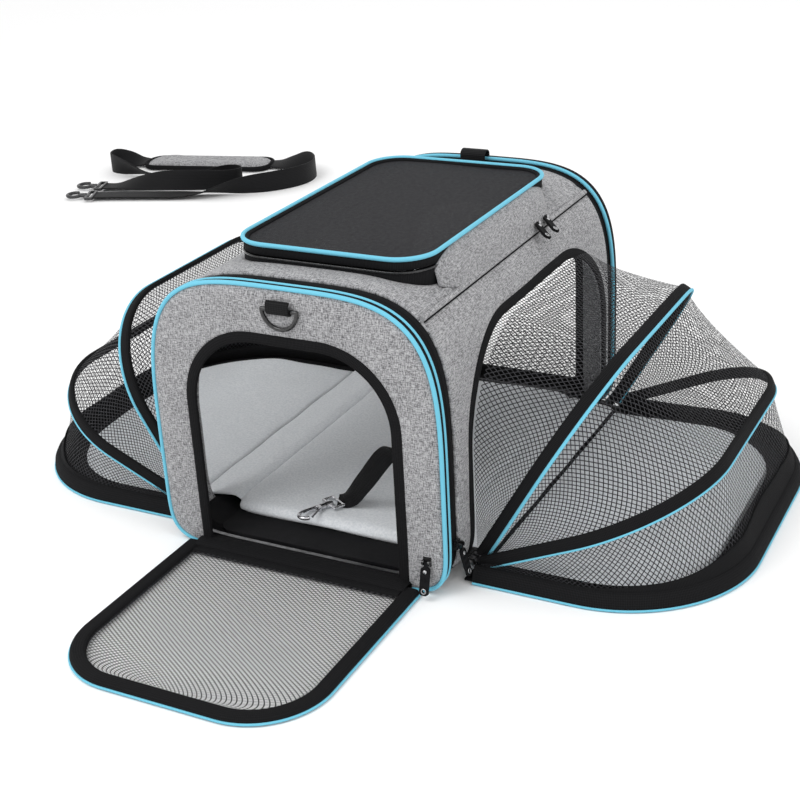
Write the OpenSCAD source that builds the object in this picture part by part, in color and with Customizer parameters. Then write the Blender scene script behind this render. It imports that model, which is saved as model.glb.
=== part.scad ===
/* [Body] */
// Length of the carrier from the front face to the rear face
body_l = 457; // [400:1:560]
// Width of the carrier at its widest
body_w = 300; // [250:1:360]
// Height of the roof above the ground
body_h = 280; // [235:1:340]
// Height at which the sides are widest
belly_z = 100; // [85:1:115]
// Thickness of the padded fabric walls
wall_t = 4; // [3:0.5:5]
// Thickness of the two end panels
panel_t = 6; // [4:0.5:8]
// Width of the zip band behind the front panel
front_band_w = 24; // [16:1:30]
// Width of the zip band ahead of the rear panel
rear_band_w = 18; // [14:1:24]

/* [Cabin floor] */
// Thickness of the stiff base board
board_t = 3; // [2:0.5:4]
// Thickness of the fleece mat
mat_t = 12; // [8:1:16]
// Bare floor left ahead of the mat
sill_w = 42; // [30:1:60]

/* [Doorways] */
// Width of the front and rear doorways
doorway_w = 224; // [190:1:228]
// Height of the doorways
doorway_h = 234; // [190:1:236]
// Corner radius at the top of the doorways
doorway_r = 78; // [50:1:90]
// Width of the binding round each doorway
binding_w = 8; // [6:1:10]
// How far a door laps over its doorway on every side
door_lap = 15; // [10:1:16]
// Thickness of the door border
door_t = 7; // [5:0.5:8]
// Width of the door border
door_border_w = 20; // [12:1:26]

/* [Side openings] */
// Length of each side opening
side_open_l = 352; // [300:1:356]
// Height of each side opening
side_open_h = 204; // [170:1:210]
// Corner radius of the side openings
side_open_r = 100; // [70:1:110]
// Shift of the side openings towards the rear
side_shift = 10; // [4:1:14]
// Height above the ground of the line where the roof panel is sewn to the sides
seam_z = 256; // [246:1:262]

/* [Side extensions] */
// Half length of the inner hoop
inner_half = 184; // [180:1:188]
// Reach of the inner hoop from its pivots
inner_reach = 212; // [190:1:214]
// Gap between the centre lines of neighbouring hoops
hoop_pitch = 8.5; // [8:0.5:10]
// Corner radius of the inner hoop
hoop_r = 108; // [80:1:120]
// Diameter of the spring wire in the hoops
wire_d = 4; // [3:0.5:4.5]
// Width of the fabric sleeve round the wire
sleeve_w = 7; // [6:0.5:7.5]
// Height of the hoop pivots above the ground
pivot_z = 14; // [13:0.5:18]
// Lean of the inner hoop from upright, when open
inner_lean = 30; // [22:1:38]
// Lean of the outer hoop from upright, when open
outer_lean = 66; // [58:1:72]
// Thickness of the extension mats
side_mat_t = 8; // [5:1:8]

/* [Roof flap] */
// Width of the roof flap
flap_w = 200; // [160:1:202]
// Length of the roof flap
flap_l = 314; // [260:1:330]
// Corner radius of the roof flap
flap_r = 36; // [25:1:45]
// Height of the flap's side band
flap_t = 12.5; // [9:0.5:16]
// Width of the flap's side band
flap_band_w = 9; // [7:1:12]
// Shift of the flap towards the hinge side
flap_shift_x = 8; // [4:1:9]
// Shift of the flap towards the front
flap_shift_y = 10; // [0:1:14]

/* [Rings and pulls] */
// Inside radius of the carrying rings
ring_r = 16; // [12:1:18]
// Wire diameter of the carrying rings
ring_wire_d = 4; // [3:0.5:5]
// Length of the fabric zip pulls
pull_l = 27; // [20:1:30]
// Width of the fabric zip pulls
pull_w = 9; // [7:1:10]

/* [Shoulder strap] */
// Width of the shoulder webbing
strap_w = 36; // [30:1:38]
// Thickness of the shoulder webbing
strap_t = 2.4; // [1.6:0.2:3]
// Length of the shoulder pad
pad_l = 250; // [200:1:260]
// Width of the shoulder pad
pad_w = 76; // [60:1:80]
// Thickness of the shoulder pad
pad_t = 13; // [8:1:16]

/* [Hidden] */

$fn = 64;
eps = 0.01;
// Gap left between pieces that pass each other
pass_gap = 0.5;
// Radial clearance of a pin in its hole
run_gap = 0.05;

heather = [0.52, 0.52, 0.55];
black = [0.06, 0.06, 0.07];
fleece = [0.74, 0.77, 0.8];
steel = [0.75, 0.75, 0.77];

half_w = body_w / 2;
front_y = -body_l / 2;
rear_y = body_l / 2;
front_band_y = front_y + panel_t;
rear_band_y = rear_y - panel_t;
shell_front_y = front_band_y + front_band_w;
shell_rear_y = rear_band_y - rear_band_w;
// The wall is one superellipse above the belly and a squarer one below it
roof_power = 4;
foot_power = 8;
profile_steps = 64;
// How far the bindings of the side openings stand out from the wall
binding_t = 1.5;
// Gap between an end panel and the spring wire behind it
frame_gap = 2;

// The board and the mat lie on the flat of the bottom, inside its rounded corners
board_z = wall_t + 1.6;
board_half_w = half_w - 40;
board_end_gap = 12;
mat_z = board_z + board_t;
mat_top = mat_z + mat_t;
mat_half_w = half_w - 26;
mat_end_gap = 16;
mat_r = 14;

// Height of a doorway's foot
door_foot_z = wall_t + 1;
door_half = doorway_w / 2 + door_lap;
door_reach = doorway_h + door_lap / 3 - door_foot_z;
door_r = doorway_r - 6;
door_pivot_z = door_t / 2 + 0.5;
door_pivot_y = front_y - door_t / 2 - 3;
mesh_t = 1.2;

// Hoops turn on pins beside the foot of the side openings
pivot_x = half_w + 6;
outer_half = inner_half + hoop_pitch;
floor_half = outer_half + hoop_pitch;
outer_reach = inner_reach + hoop_pitch + 1;
floor_reach = outer_reach + hoop_pitch + 1;
eye_r = 5;
eye_w = 5;
pin_r = 2;
// Width of the flat hem outside the floor hoop
floor_hem = 8;
slab_t = 4;
// How far the floor's slab reaches in past the pivots
slab_lap = 3;
rim_top = pivot_z + sleeve_w / 2;
gore_t = 1;
gore_foot = 26;
gore_steps = 20;

rim_z = body_h + 4;
// The roof rim starts just above the roof's seam
rim_foot_z = seam_z + 4;
flap_gap = 0.4;
flap_mesh_t = 3;
// How far the flap's mesh lies below the top of its band
flap_mesh_drop = 2;
flap_x0 = flap_shift_x - flap_w / 2;
flap_x1 = flap_shift_x + flap_w / 2;
flap_z = rim_z + flap_gap;

tab_w = 26;
tab_t = 7;
tab_foot_z = body_h - 23;
tab_h = 15;
ring_bar_z = body_h - 18;
ring_bar_y = tab_t / 2 + pass_gap;
ring_centre_r = ring_r + ring_wire_d / 2;

slider_w = 8;
slider_l = 9;
pull_t = 2.4;
pull_pin_r = 1;
door_slider_x = door_half + 7;
door_slider_z = 36;
side_slider_y = side_shift - floor_half - floor_hem - slider_w / 2 - 2;
side_slider_z = 44;
top_slider_x = flap_x1 + 12;
top_slider_z = body_h - 18;
// Slope of the roof's shoulder under the top sliders
top_slope = 40;
top_a_y = 68;
top_b_y = 90;
// How far the pulls hang from straight out
hang = 75;

// Tether webbing: place, height and roll of its flat side, from the wall to the hook
tether_w = 20;
tether_t = 2;
tether_route = [[112, -192, 8, 90], [113, -192, 24, 90], [113, -192, 44, 90], [112, -191, 64, 90],
    [110, -189, 82, 85], [105, -186, 98, 70], [96, -181, 109, 45], [84, -175, 113, 25],
    [71, -169, 108, 12], [58, -163, 96, 6], [45, -157, 80, 3], [32, -151, 63, 0], [20, -146, 48, 0],
    [9, -142, 34, 0], [-1, -140, 27, 0], [-9, -142, mat_top + 4, 0]];
tether_end = [-9, -142, mat_top + 4];
tether_turn = 240;

// Shoulder webbing: place, height of its centre and roll, where 90 stands on edge
strap_place = [-860, 860];
strap_turn = 28;
strap_route_a = [[-173, -1, 6, 0], [-150, -4, 6, 0], [-120, -10, 10, 20], [-90, -17, 14, 40],
    [-55, -25, 17, 60], [-20, -34, 18, 75], [20, -44, 19, 88], [50, -50, 19, 90], [72, -48, 19, 90],
    [82, -34, 19, 90], [74, -18, 19, 88], [54, -6, 18, 75], [28, 4, 15, 50], [0, 14, 9, 20],
    [-28, 26, 6, 0], [-60, 40, 6, 0], [-95, 56, 10, 20], [-130, 74, 16, 50], [-160, 94, 19, 80],
    [-176, 118, 19, 90], [-170, 142, 19, 85], [-150, 154, 14, 50], [-128, 154, 8, 15],
    [-106, 149, 7, 0]];
strap_route_b = [[120, 91, 7, 0], [142, 84, 7, 10], [168, 72, 12, 35], [194, 52, 18, 70],
    [210, 24, 19, 90], [210, -8, 19, 90], [196, -38, 19, 90], [168, -62, 19, 90], [132, -78, 19, 88],
    [92, -86, 18, 70], [52, -88, 14, 40], [12, -86, 8, 12], [-30, -81, 6, 0], [-72, -74, 6, 0],
    [-112, -67, 6, 0], [-150, -61, 6, 0], [-181, -58, 6, 0]];
pad_place = [7, 120];
pad_turn = -15;
glide_place = [-44, 33];
glide_turn = -24;
near_hook_place = [-185, -57];
near_hook_turn = 176;
far_hook_place = [-177, 0];
far_hook_turn = 172;
hook_z = 6;

// Point of the wall outline, at a depth below its outer face
function power_sign(v, n) = sign(v) * pow(abs(v), 2 / n);
function wall_point(t, depth) =
    let (n = sin(t) >= 0 ? roof_power : foot_power)
    let (rise = (sin(t) >= 0 ? body_h - belly_z : belly_z) - depth)
    [(half_w - depth) * power_sign(cos(t), n), belly_z + rise * power_sign(sin(t), n)];

module wall_outline(depth) {
    polygon([for (i = [0:profile_steps - 1]) wall_point(360 * i / profile_steps, depth)]);
}

// Stretches a drawing of the end view from y0 to y1
module along_y(y0, y1) {
    translate([0, y1, 0])
        rotate([90, 0, 0])
            linear_extrude(y1 - y0)
                children();
}

module wall_ring(depth0, depth1, y0, y1) {
    along_y(y0, y1)
        difference() {
            wall_outline(depth0);
            wall_outline(depth1);
        }
}

// Upright shape with square feet and round shoulders
module arch(half, top, r) {
    translate([-half, 0])
        square([2 * half, top - r]);
    translate([r - half, 0])
        square([2 * (half - r), top]);
    intersection() {
        for (side = [-1, 1])
            translate([side * (half - r), top - r])
                circle(r);
        translate([-half, 0])
            square([2 * half, top]);
    }
}

module rounded_plate(x0, x1, y0, y1, r) {
    translate([x0, y0 + r])
        square([x1 - x0, y1 - y0 - 2 * r]);
    translate([x0 + r, y0])
        square([x1 - x0 - 2 * r, y1 - y0]);
    for (x = [x0 + r, x1 - r], y = [y0 + r, y1 - r])
        translate([x, y])
            circle(r);
}

// Wire bent along the arch, lying in the XY plane
module arch_wire(half, top, r, wire_r, foot) {
    for (side = [-1, 1]) {
        translate([side * half, foot, 0])
            rotate([-90, 0, 0])
                cylinder(r = wire_r, h = top - r - foot, $fn = 24);
        translate([side * (half - r), top - r, 0])
            rotate([0, 0, side > 0 ? 0 : 90])
                rotate_extrude(angle = 90, $fn = 96)
                    translate([r, 0])
                        circle(wire_r, $fn = 24);
    }
    translate([r - half, top, 0])
        rotate([0, 90, 0])
            cylinder(r = wire_r, h = 2 * (half - r), $fn = 24);
}

module side_holes() {
    translate([0, side_shift, pivot_z])
        rotate([90, 0, 90])
            linear_extrude(2 * body_w, center = true)
                arch(side_open_l / 2, side_open_h, side_open_r);
}

module side_panel(side) {
    color(heather)
        difference() {
            wall_ring(0, wall_t, shell_front_y, shell_rear_y);
            side_holes();
            translate([-body_w, -body_l, seam_z])
                cube([2 * body_w, 2 * body_l, body_h]);
            translate([-body_w, -body_l, -body_h])
                cube([2 * body_w, 2 * body_l, body_h + pivot_z]);
            translate([side > 0 ? -body_w : 0, -body_l, -eps])
                cube([body_w, 2 * body_l, body_h]);
        }
}

module bottom_panel() {
    color(black)
        intersection() {
            wall_ring(0, wall_t, shell_front_y, shell_rear_y);
            translate([-body_w, -body_l, -eps])
                cube([2 * body_w, 2 * body_l, pivot_z + eps]);
        }
}

module base_board() {
    color(black)
        translate([0, 0, board_z])
            linear_extrude(board_t)
                rounded_plate(-board_half_w, board_half_w, front_band_y + board_end_gap,
                    rear_band_y - board_end_gap, mat_r);
}

module main_mat() {
    color(fleece)
        translate([0, 0, mat_z])
            linear_extrude(mat_t)
                rounded_plate(-mat_half_w, mat_half_w, front_y + sill_w, rear_band_y - mat_end_gap, mat_r);
}

module left_side_panel() {
    side_panel(-1);
}

module right_side_panel() {
    side_panel(1);
}

module flap_outline(inset) {
    rounded_plate(flap_x0 + inset, flap_x1 - inset, inset - flap_l / 2 - flap_shift_y,
        flap_l / 2 - flap_shift_y - inset, flap_r - inset);
}

module top_panel() {
    color(heather)
        difference() {
            intersection() {
                wall_ring(0, wall_t, shell_front_y, shell_rear_y);
                translate([-body_w, -body_l, seam_z])
                    cube([2 * body_w, 2 * body_l, body_h]);
            }
            translate([0, 0, seam_z])
                linear_extrude(body_h)
                    flap_outline(0);
        }
}

module end_panel() {
    color(heather)
        along_y(front_y, front_band_y)
            difference() {
                wall_outline(0);
                translate([0, door_foot_z])
                    arch(doorway_w / 2, doorway_h - door_foot_z, doorway_r);
            }
}

module front_panel() {
    end_panel();
}

module rear_panel() {
    mirror([0, 1, 0])
        end_panel();
}

module zip_bands() {
    color(black) {
        wall_ring(0, wall_t, front_band_y, shell_front_y);
        wall_ring(0, wall_t, shell_rear_y, rear_band_y);
    }
}

// Spring wires that hold the two ends open, just inside the walls
module frame_wires() {
    inset = wall_t + pass_gap;
    color(steel) {
        wall_ring(inset, inset + wire_d, front_band_y + frame_gap, front_band_y + frame_gap + wire_d);
        wall_ring(inset, inset + wire_d, rear_band_y - frame_gap - wire_d, rear_band_y - frame_gap);
    }
}

module side_bindings() {
    color(black)
        difference() {
            intersection() {
                wall_ring(-binding_t, 0, shell_front_y, shell_rear_y);
                translate([0, side_shift, pivot_z])
                    rotate([90, 0, 90])
                        linear_extrude(2 * body_w, center = true)
                            arch(side_open_l / 2 + binding_w, side_open_h + binding_w,
                                side_open_r + binding_w);
            }
            side_holes();
        }
}

module door_binding() {
    color(black)
        along_y(front_y, front_y + panel_t - 1)
            translate([0, door_foot_z])
                difference() {
                    arch(doorway_w / 2, doorway_h - door_foot_z, doorway_r);
                    translate([0, -eps])
                        arch(doorway_w / 2 - binding_w, doorway_h - door_foot_z - binding_w,
                            doorway_r - binding_w);
                }
}

module door_bindings() {
    door_binding();
    mirror([0, 1, 0])
        door_binding();
}

module roof_rim() {
    color(black)
        translate([0, 0, rim_foot_z])
            linear_extrude(rim_z - rim_foot_z)
                difference() {
                    flap_outline(0);
                    flap_outline(flap_band_w);
                }
}

// One stub axle with its foot against the wall
module pivot_pin() {
    pin_in = inner_half - eye_w / 2 - 2;
    translate([0, pin_in, 0])
        rotate([-90, 0, 0])
            cylinder(r = pin_r, h = floor_half + eye_w / 2 + 2 - pin_in);
    translate([0, pin_in, 0])
        rotate([90, 0, 0])
            cylinder(r = eye_r, h = 4);
    translate([-16, pin_in - 4, -eye_r])
        cube([16, 4, 2 * eye_r]);
}

module pivot_pins() {
    color(steel)
        difference() {
            for (side = [-1, 1], end = [-1, 1])
                translate([side * pivot_x, side_shift, pivot_z])
                    scale_side(side)
                        scale_end(end)
                            pivot_pin();
            along_y(-body_l, body_l)
                wall_outline(-binding_t);
        }
}

module scale_side(side) {
    if (side > 0) children();
    else mirror([1, 0, 0]) children();
}

module scale_end(end) {
    if (end > 0) children();
    else mirror([0, 1, 0]) children();
}

module ring_tab() {
    difference() {
        translate([-tab_w / 2, -tab_t, tab_foot_z])
            cube([tab_w, tab_t, tab_h]);
        translate([0, -ring_bar_y, ring_bar_z])
            rotate([0, 90, 0])
                cylinder(r = ring_wire_d / 2 + run_gap, h = tab_w + 2, center = true);
    }
}

module ring_tabs() {
    color(black) {
        translate([0, front_y, 0])
            ring_tab();
        mirror([0, 1, 0])
            translate([0, front_y, 0])
                ring_tab();
    }
}

module d_ring() {
    color(black)
        translate([0, front_y - ring_bar_y, ring_bar_z]) {
            rotate([0, 90, 0])
                cylinder(r = ring_wire_d / 2, h = 2 * ring_centre_r, center = true);
            rotate([90, 0, 0])
                rotate([0, 0, 180])
                    rotate_extrude(angle = 180)
                        translate([ring_centre_r, 0])
                            circle(ring_wire_d / 2, $fn = 24);
            for (side = [-1, 1])
                translate([side * ring_centre_r, 0, 0])
                    sphere(ring_wire_d / 2, $fn = 24);
        }
}

module front_d_ring() {
    d_ring();
}

module rear_d_ring() {
    mirror([0, 1, 0])
        d_ring();
}

// Flat band swept along a route of [x, y, z, roll], with chamfered edges
function heading(route, i) =
    let (a = route[max(i - 1, 0)])
    let (b = route[min(i + 1, len(route) - 1)])
    atan2(b[1] - a[1], b[0] - a[0]);
function climb(route, i) =
    let (a = route[max(i - 1, 0)])
    let (b = route[min(i + 1, len(route) - 1)])
    atan2(b[2] - a[2], norm([b[0] - a[0], b[1] - a[1]]));
function band_ring(route, i, w, t) =
    let (h = heading(route, i))
    let (c = climb(route, i))
    let (r = route[i][3])
    let (level = [-sin(h), cos(h), 0])
    let (up = [-sin(c) * cos(h), -sin(c) * sin(h), cos(c)])
    let (flat_dir = level * cos(r) + up * sin(r))
    let (thick_dir = up * cos(r) - level * sin(r))
    let (e = t / 4)
    let (centre = [route[i][0], route[i][1], route[i][2]])
    [for (k = [[w / 2, -e], [w / 2, e], [w / 2 - e, 2 * e], [e - w / 2, 2 * e], [-w / 2, e], [-w / 2, -e],
            [e - w / 2, -2 * e], [w / 2 - e, -2 * e]])
        centre + flat_dir * k[0] + thick_dir * k[1]];

module band(route, w, t) {
    sides = 8;
    last = len(route) - 1;
    polyhedron(
        points = [for (i = [0:last]) each band_ring(route, i, w, t)],
        faces = concat(
            [[for (k = [sides - 1:-1:0]) k]],
            [for (i = [0:last - 1], k = [0:sides - 1])
                each [
                    [i * sides + k, i * sides + (k + 1) % sides, (i + 1) * sides + k],
                    [i * sides + (k + 1) % sides, (i + 1) * sides + (k + 1) % sides, (i + 1) * sides + k]]],
            [[for (k = [0:sides - 1]) last * sides + k]]),
        convexity = 4);
}

module tether_strap() {
    color(black)
        band(tether_route, tether_w, tether_t);
}

module at_tether_end() {
    translate(tether_end)
        rotate([0, 0, tether_turn])
            children();
}

// Barrel of a swivel along X, with the hole for the hook's shank
module swivel_barrel(r, hole_r, x0, x1) {
    translate([x0, 0, 0])
        rotate([0, 90, 0])
            difference() {
                cylinder(r = r, h = x1 - x0);
                translate([0, 0, -1])
                    cylinder(r = hole_r, h = x1 - x0 + 2);
            }
}

// Shank with a head on the inner side and a collar on the outer side
module swivel_shank(r, x0, x1, x2) {
    rotate([0, 90, 0]) {
        translate([0, 0, x0])
            cylinder(r = r, h = x2 - x0);
        translate([0, 0, x0 - 1.6])
            cylinder(r = r + 1.2, h = 1.6 - 0.1);
    }
}

module bent_rod(r, rod_r, from, sweep) {
    rotate([0, 0, from])
        rotate_extrude(angle = sweep)
            translate([r, 0])
                circle(rod_r, $fn = 24);
}

module tether_swivel() {
    color(steel)
        at_tether_end() {
            for (side = [-1, 1]) {
                translate([0, side * tether_loop_w / 2, 0])
                    rotate([0, 90, 0])
                        cylinder(r = tether_wire_r, h = 11);
                translate([11, side * tether_loop_w / 2, 0])
                    sphere(tether_wire_r, $fn = 24);
            }
            for (side = [-1, 1])
                translate([11, side * 7, 0])
                    rotate([90, 0, 0])
                        cylinder(r = tether_wire_r, h = 8, center = true);
            rotate([90, 0, 0])
                cylinder(r = tether_wire_r, h = tether_loop_w, center = true);
            swivel_barrel(3.6, tether_wire_r + run_gap, 9, 15);
        }
}

tether_rod_r = 2;
tether_wire_r = 1.5;
tether_loop_w = 22;
tether_bend_r = 7;
tether_bend_x = 40;
tether_gate_l = 15.4;
gate_pin_r = 0.8;
gate_foot = [23, 3];
module tether_hook() {
    color(steel)
        at_tether_end() {
            swivel_shank(tether_wire_r, 8.6, 15.2, 18);
            translate([15.4, 0, 0])
                rotate([0, 90, 0])
                    cylinder(r = 3.2, h = 5);
            translate([19, -2, 0])
                rotate([0, 90, 0])
                    cylinder(r = tether_rod_r, h = tether_bend_x - 19);
            translate([tether_bend_x, tether_bend_r - 2, 0])
                bent_rod(tether_bend_r, tether_rod_r, -90, 175);
            for (side = [-1, 1])
                translate([gate_foot[0] - 2, -2, side * 2.1 - 0.4])
                    cube([4, 6.5, 0.8]);
            translate([gate_foot[0], gate_foot[1], 0])
                cylinder(r = gate_pin_r, h = 4, center = true);
        }
}

module tether_gate() {
    color(steel)
        at_tether_end()
            translate([gate_foot[0], gate_foot[1], 0])
                difference() {
                    union() {
                        cylinder(r = 1.9, h = 3, center = true);
                        rotate([0, 90, 33])
                            translate([0, 0, 1])
                                cylinder(r = 1.3, h = tether_gate_l);
                    }
                    cylinder(r = gate_pin_r + run_gap, h = 4, center = true);
                }
}

module door_border() {
    color(black)
        translate([0, door_pivot_y, door_pivot_z])
            rotate([180, 0, 0])
                translate([0, 1, -door_t / 2])
                    difference() {
                        linear_extrude(door_t)
                            arch(door_half, door_reach, door_r);
                        translate([0, door_border_w, -1])
                            linear_extrude(door_t + 2)
                                arch(door_half - door_border_w, door_reach - 2 * door_border_w,
                                    door_r - door_border_w);
                    }
}

module door_mesh() {
    color(black)
        translate([0, door_pivot_y, door_pivot_z])
            rotate([180, 0, 0])
                translate([0, 1 + door_border_w, -mesh_t / 2])
                    linear_extrude(mesh_t)
                        arch(door_half - door_border_w, door_reach - 2 * door_border_w,
                            door_r - door_border_w);
}

// A closed door stands against the rear panel
module as_rear_door() {
    mirror([0, 1, 0])
        translate([0, door_pivot_y, door_pivot_z])
            rotate([-90, 0, 0])
                translate([0, -door_pivot_y, -door_pivot_z])
                    children();
}

module front_door_border() {
    door_border();
}

module front_door_mesh() {
    door_mesh();
}

module rear_door_border() {
    as_rear_door()
        door_border();
}

module rear_door_mesh() {
    as_rear_door()
        door_mesh();
}

module flap_band() {
    color(black)
        translate([0, 0, flap_z])
            linear_extrude(flap_t)
                difference() {
                    flap_outline(0);
                    flap_outline(flap_band_w);
                }
}

module flap_mesh() {
    color(black)
        translate([0, 0, flap_z + flap_t - flap_mesh_drop - flap_mesh_t])
            linear_extrude(flap_mesh_t)
                flap_outline(flap_band_w);
}

// Stands a drawing of a hoop on its pivots, leaning out by an angle
module lean_out(side, lean) {
    translate([side * pivot_x, side_shift, pivot_z])
        rotate([0, side * lean, 0])
            rotate([90, 0, 90])
                children();
}

module hoop_wire(half, top, r) {
    color(steel)
        difference() {
            union() {
                arch_wire(half, top, r, wire_d / 2, 0);
                for (end = [-1, 1])
                    translate([end * half, 0, 0])
                        rotate([0, 90, 0])
                            cylinder(r = eye_r, h = eye_w, center = true);
            }
            rotate([0, 90, 0])
                cylinder(r = pin_r + run_gap, h = 3 * half, center = true);
        }
}

module hoop_sleeve(half, top, r) {
    foot = eye_r + 2;
    color(black)
        difference() {
            translate([0, 0, -sleeve_w / 2])
                linear_extrude(sleeve_w)
                    difference() {
                        arch(half + sleeve_w / 2, top + sleeve_w / 2, r + sleeve_w / 2);
                        arch(half - sleeve_w / 2, top - sleeve_w / 2, r - sleeve_w / 2);
                        translate([-body_l, -1])
                            square([2 * body_l, foot + 1]);
                    }
            arch_wire(half, top, r, wire_d / 2, 0);
        }
}

module inner_wire(side) {
    lean_out(side, inner_lean)
        hoop_wire(inner_half, inner_reach, hoop_r);
}

module inner_sleeve(side) {
    lean_out(side, inner_lean)
        hoop_sleeve(inner_half, inner_reach, hoop_r);
}

module outer_wire(side) {
    lean_out(side, outer_lean)
        hoop_wire(outer_half, outer_reach, hoop_r + hoop_pitch);
}

module outer_sleeve(side) {
    lean_out(side, outer_lean)
        hoop_sleeve(outer_half, outer_reach, hoop_r + hoop_pitch);
}

module floor_wire(side) {
    lean_out(side, 90)
        hoop_wire(floor_half, floor_reach, hoop_r + 2 * hoop_pitch);
}

// Flat extension floor with a raised rim that holds the floor hoop
module floor_panel(side) {
    r = hoop_r + 2 * hoop_pitch;
    color(black)
        difference() {
            translate([side * pivot_x, side_shift, 0])
                scale_side(side)
                    rotate([0, 0, -90]) {
                        translate([0, -slab_lap, 0])
                            linear_extrude(slab_t)
                                arch(floor_half + floor_hem, floor_reach + floor_hem + slab_lap,
                                    r + floor_hem);
                        translate([0, 0, slab_t - eps])
                            linear_extrude(rim_top - slab_t)
                                difference() {
                                    arch(floor_half + floor_hem, floor_reach + floor_hem, r + floor_hem);
                                    arch(floor_half - sleeve_w / 2, floor_reach - sleeve_w / 2,
                                        r - sleeve_w / 2);
                                    translate([-body_l, -1])
                                        square([2 * body_l, eye_r + 3]);
                                }
                    }
            lean_out(side, 90)
                arch_wire(floor_half, floor_reach, r, wire_d / 2, 0);
        }
}

module floor_mat(side) {
    inset = sleeve_w / 2 + 1.5;
    foot = eye_r + 2;
    color(fleece)
        translate([side * pivot_x, side_shift, slab_t])
            scale_side(side)
                rotate([0, 0, -90])
                    translate([0, foot, 0])
                        linear_extrude(side_mat_t)
                            arch(inner_half - inset, inner_reach - inset - foot, hoop_r - inset);
}

// Point of a hoop's centre line, where s runs from 0 to 1 round the arch above its foot
function hoop_point(half, top, r, s) =
    let (leg = top - r - gore_foot)
    let (bend = r * PI / 2)
    let (bar = 2 * (half - r))
    let (run = s * (2 * leg + 2 * bend + bar))
    run < leg ? [half, gore_foot + run]
    : run < leg + bend ? let (a = (run - leg) / r * 180 / PI) [half - r + r * cos(a), top - r + r * sin(a)]
    : run < leg + bend + bar ? [half - r - (run - leg - bend), top]
    : run < leg + 2 * bend + bar
        ? let (a = 90 + (run - leg - bend - bar) / r * 180 / PI) [r - half + r * cos(a), top - r + r * sin(a)]
    : [-half, top - r - (run - leg - 2 * bend - bar)];
// The same point in the carrier's frame, lifted off the hoop's plane
function leaning_point(side, lean, flat, lift) =
    [side * (pivot_x + flat[1] * sin(lean) + lift * cos(lean)),
        side_shift + flat[0],
        pivot_z + flat[1] * cos(lean) - lift * sin(lean)];

// Thin sheet stretched between two hoops
module gore(side, lean0, hoop0, lean1, hoop1) {
    lift = sleeve_w / 2 + 0.8;
    rows = gore_steps;
    edge0 = [for (i = [0:rows])
        leaning_point(side, lean0, hoop_point(hoop0[0], hoop0[1], hoop0[2], i / rows), lift)];
    edge1 = [for (i = [0:rows])
        leaning_point(side, lean1, hoop_point(hoop1[0], hoop1[1], hoop1[2], i / rows), -lift)];
    thin0 = [for (i = [0:rows])
        leaning_point(side, lean0,
            hoop_point(hoop0[0] - gore_t, hoop0[1] - gore_t, hoop0[2] - gore_t, i / rows), lift)];
    thin1 = [for (i = [0:rows])
        leaning_point(side, lean1,
            hoop_point(hoop1[0] - gore_t, hoop1[1] - gore_t, hoop1[2] - gore_t, i / rows), -lift)];
    n = rows + 1;
    strips = [[0, 1], [1, 3], [3, 2], [2, 0]];
    faces = concat(
        [for (strip = strips, i = [0:rows - 1])
            each [
                [strip[0] * n + i, strip[0] * n + i + 1, strip[1] * n + i],
                [strip[0] * n + i + 1, strip[1] * n + i + 1, strip[1] * n + i]]],
        [[0, n, 3 * n], [0, 3 * n, 2 * n], [rows, 3 * n + rows, n + rows],
            [rows, 2 * n + rows, 3 * n + rows]]);
    polyhedron(
        points = concat(edge0, edge1, thin0, thin1),
        faces = side > 0 ? faces : [for (f = faces) [f[2], f[1], f[0]]],
        convexity = 6);
}

module gores(side) {
    inner = [inner_half, inner_reach, hoop_r];
    outer = [outer_half, outer_reach, hoop_r + hoop_pitch];
    rim = [floor_half, floor_reach, hoop_r + 2 * hoop_pitch];
    color([0.35, 0.35, 0.38]) {
        gore(side, 0, inner, inner_lean, inner);
        gore(side, inner_lean, inner, outer_lean, outer);
        gore(side, outer_lean, outer, 90, rim);
    }
}

module right_inner_wire() {
    inner_wire(1);
}

module right_inner_sleeve() {
    inner_sleeve(1);
}

module right_outer_wire() {
    outer_wire(1);
}

module right_outer_sleeve() {
    outer_sleeve(1);
}

module right_floor_wire() {
    floor_wire(1);
}

module right_floor_panel() {
    floor_panel(1);
}

module right_floor_mat() {
    floor_mat(1);
}

module right_gores() {
    gores(1);
}

module left_inner_wire() {
    inner_wire(-1);
}

module left_inner_sleeve() {
    inner_sleeve(-1);
}

module left_outer_wire() {
    outer_wire(-1);
}

module left_outer_sleeve() {
    outer_sleeve(-1);
}

module left_floor_wire() {
    floor_wire(-1);
}

module left_floor_panel() {
    floor_panel(-1);
}

module left_floor_mat() {
    floor_mat(-1);
}

module left_gores() {
    gores(-1);
}

// Slider whose zip runs along Z, with its back to +Y and its pull's bridge towards -Y
module slider() {
    color(steel) {
        difference() {
            translate([-slider_w / 2, 0, -slider_l / 2])
                cube([slider_w, 3, slider_l]);
            translate([-slider_w, 1, -1])
                cube([2 * slider_w, 1, 2]);
        }
        difference() {
            for (side = [-1, 1])
                translate([side * (slider_w / 2 - 1), -2, 0])
                    rotate([0, 90, 0])
                        cylinder(r = 2.5, h = 2, center = true);
            rotate([0, 90, 0])
                translate([0, -2, 0])
                    cylinder(r = pull_pin_r + run_gap, h = 2 * slider_w, center = true);
        }
    }
}

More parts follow.
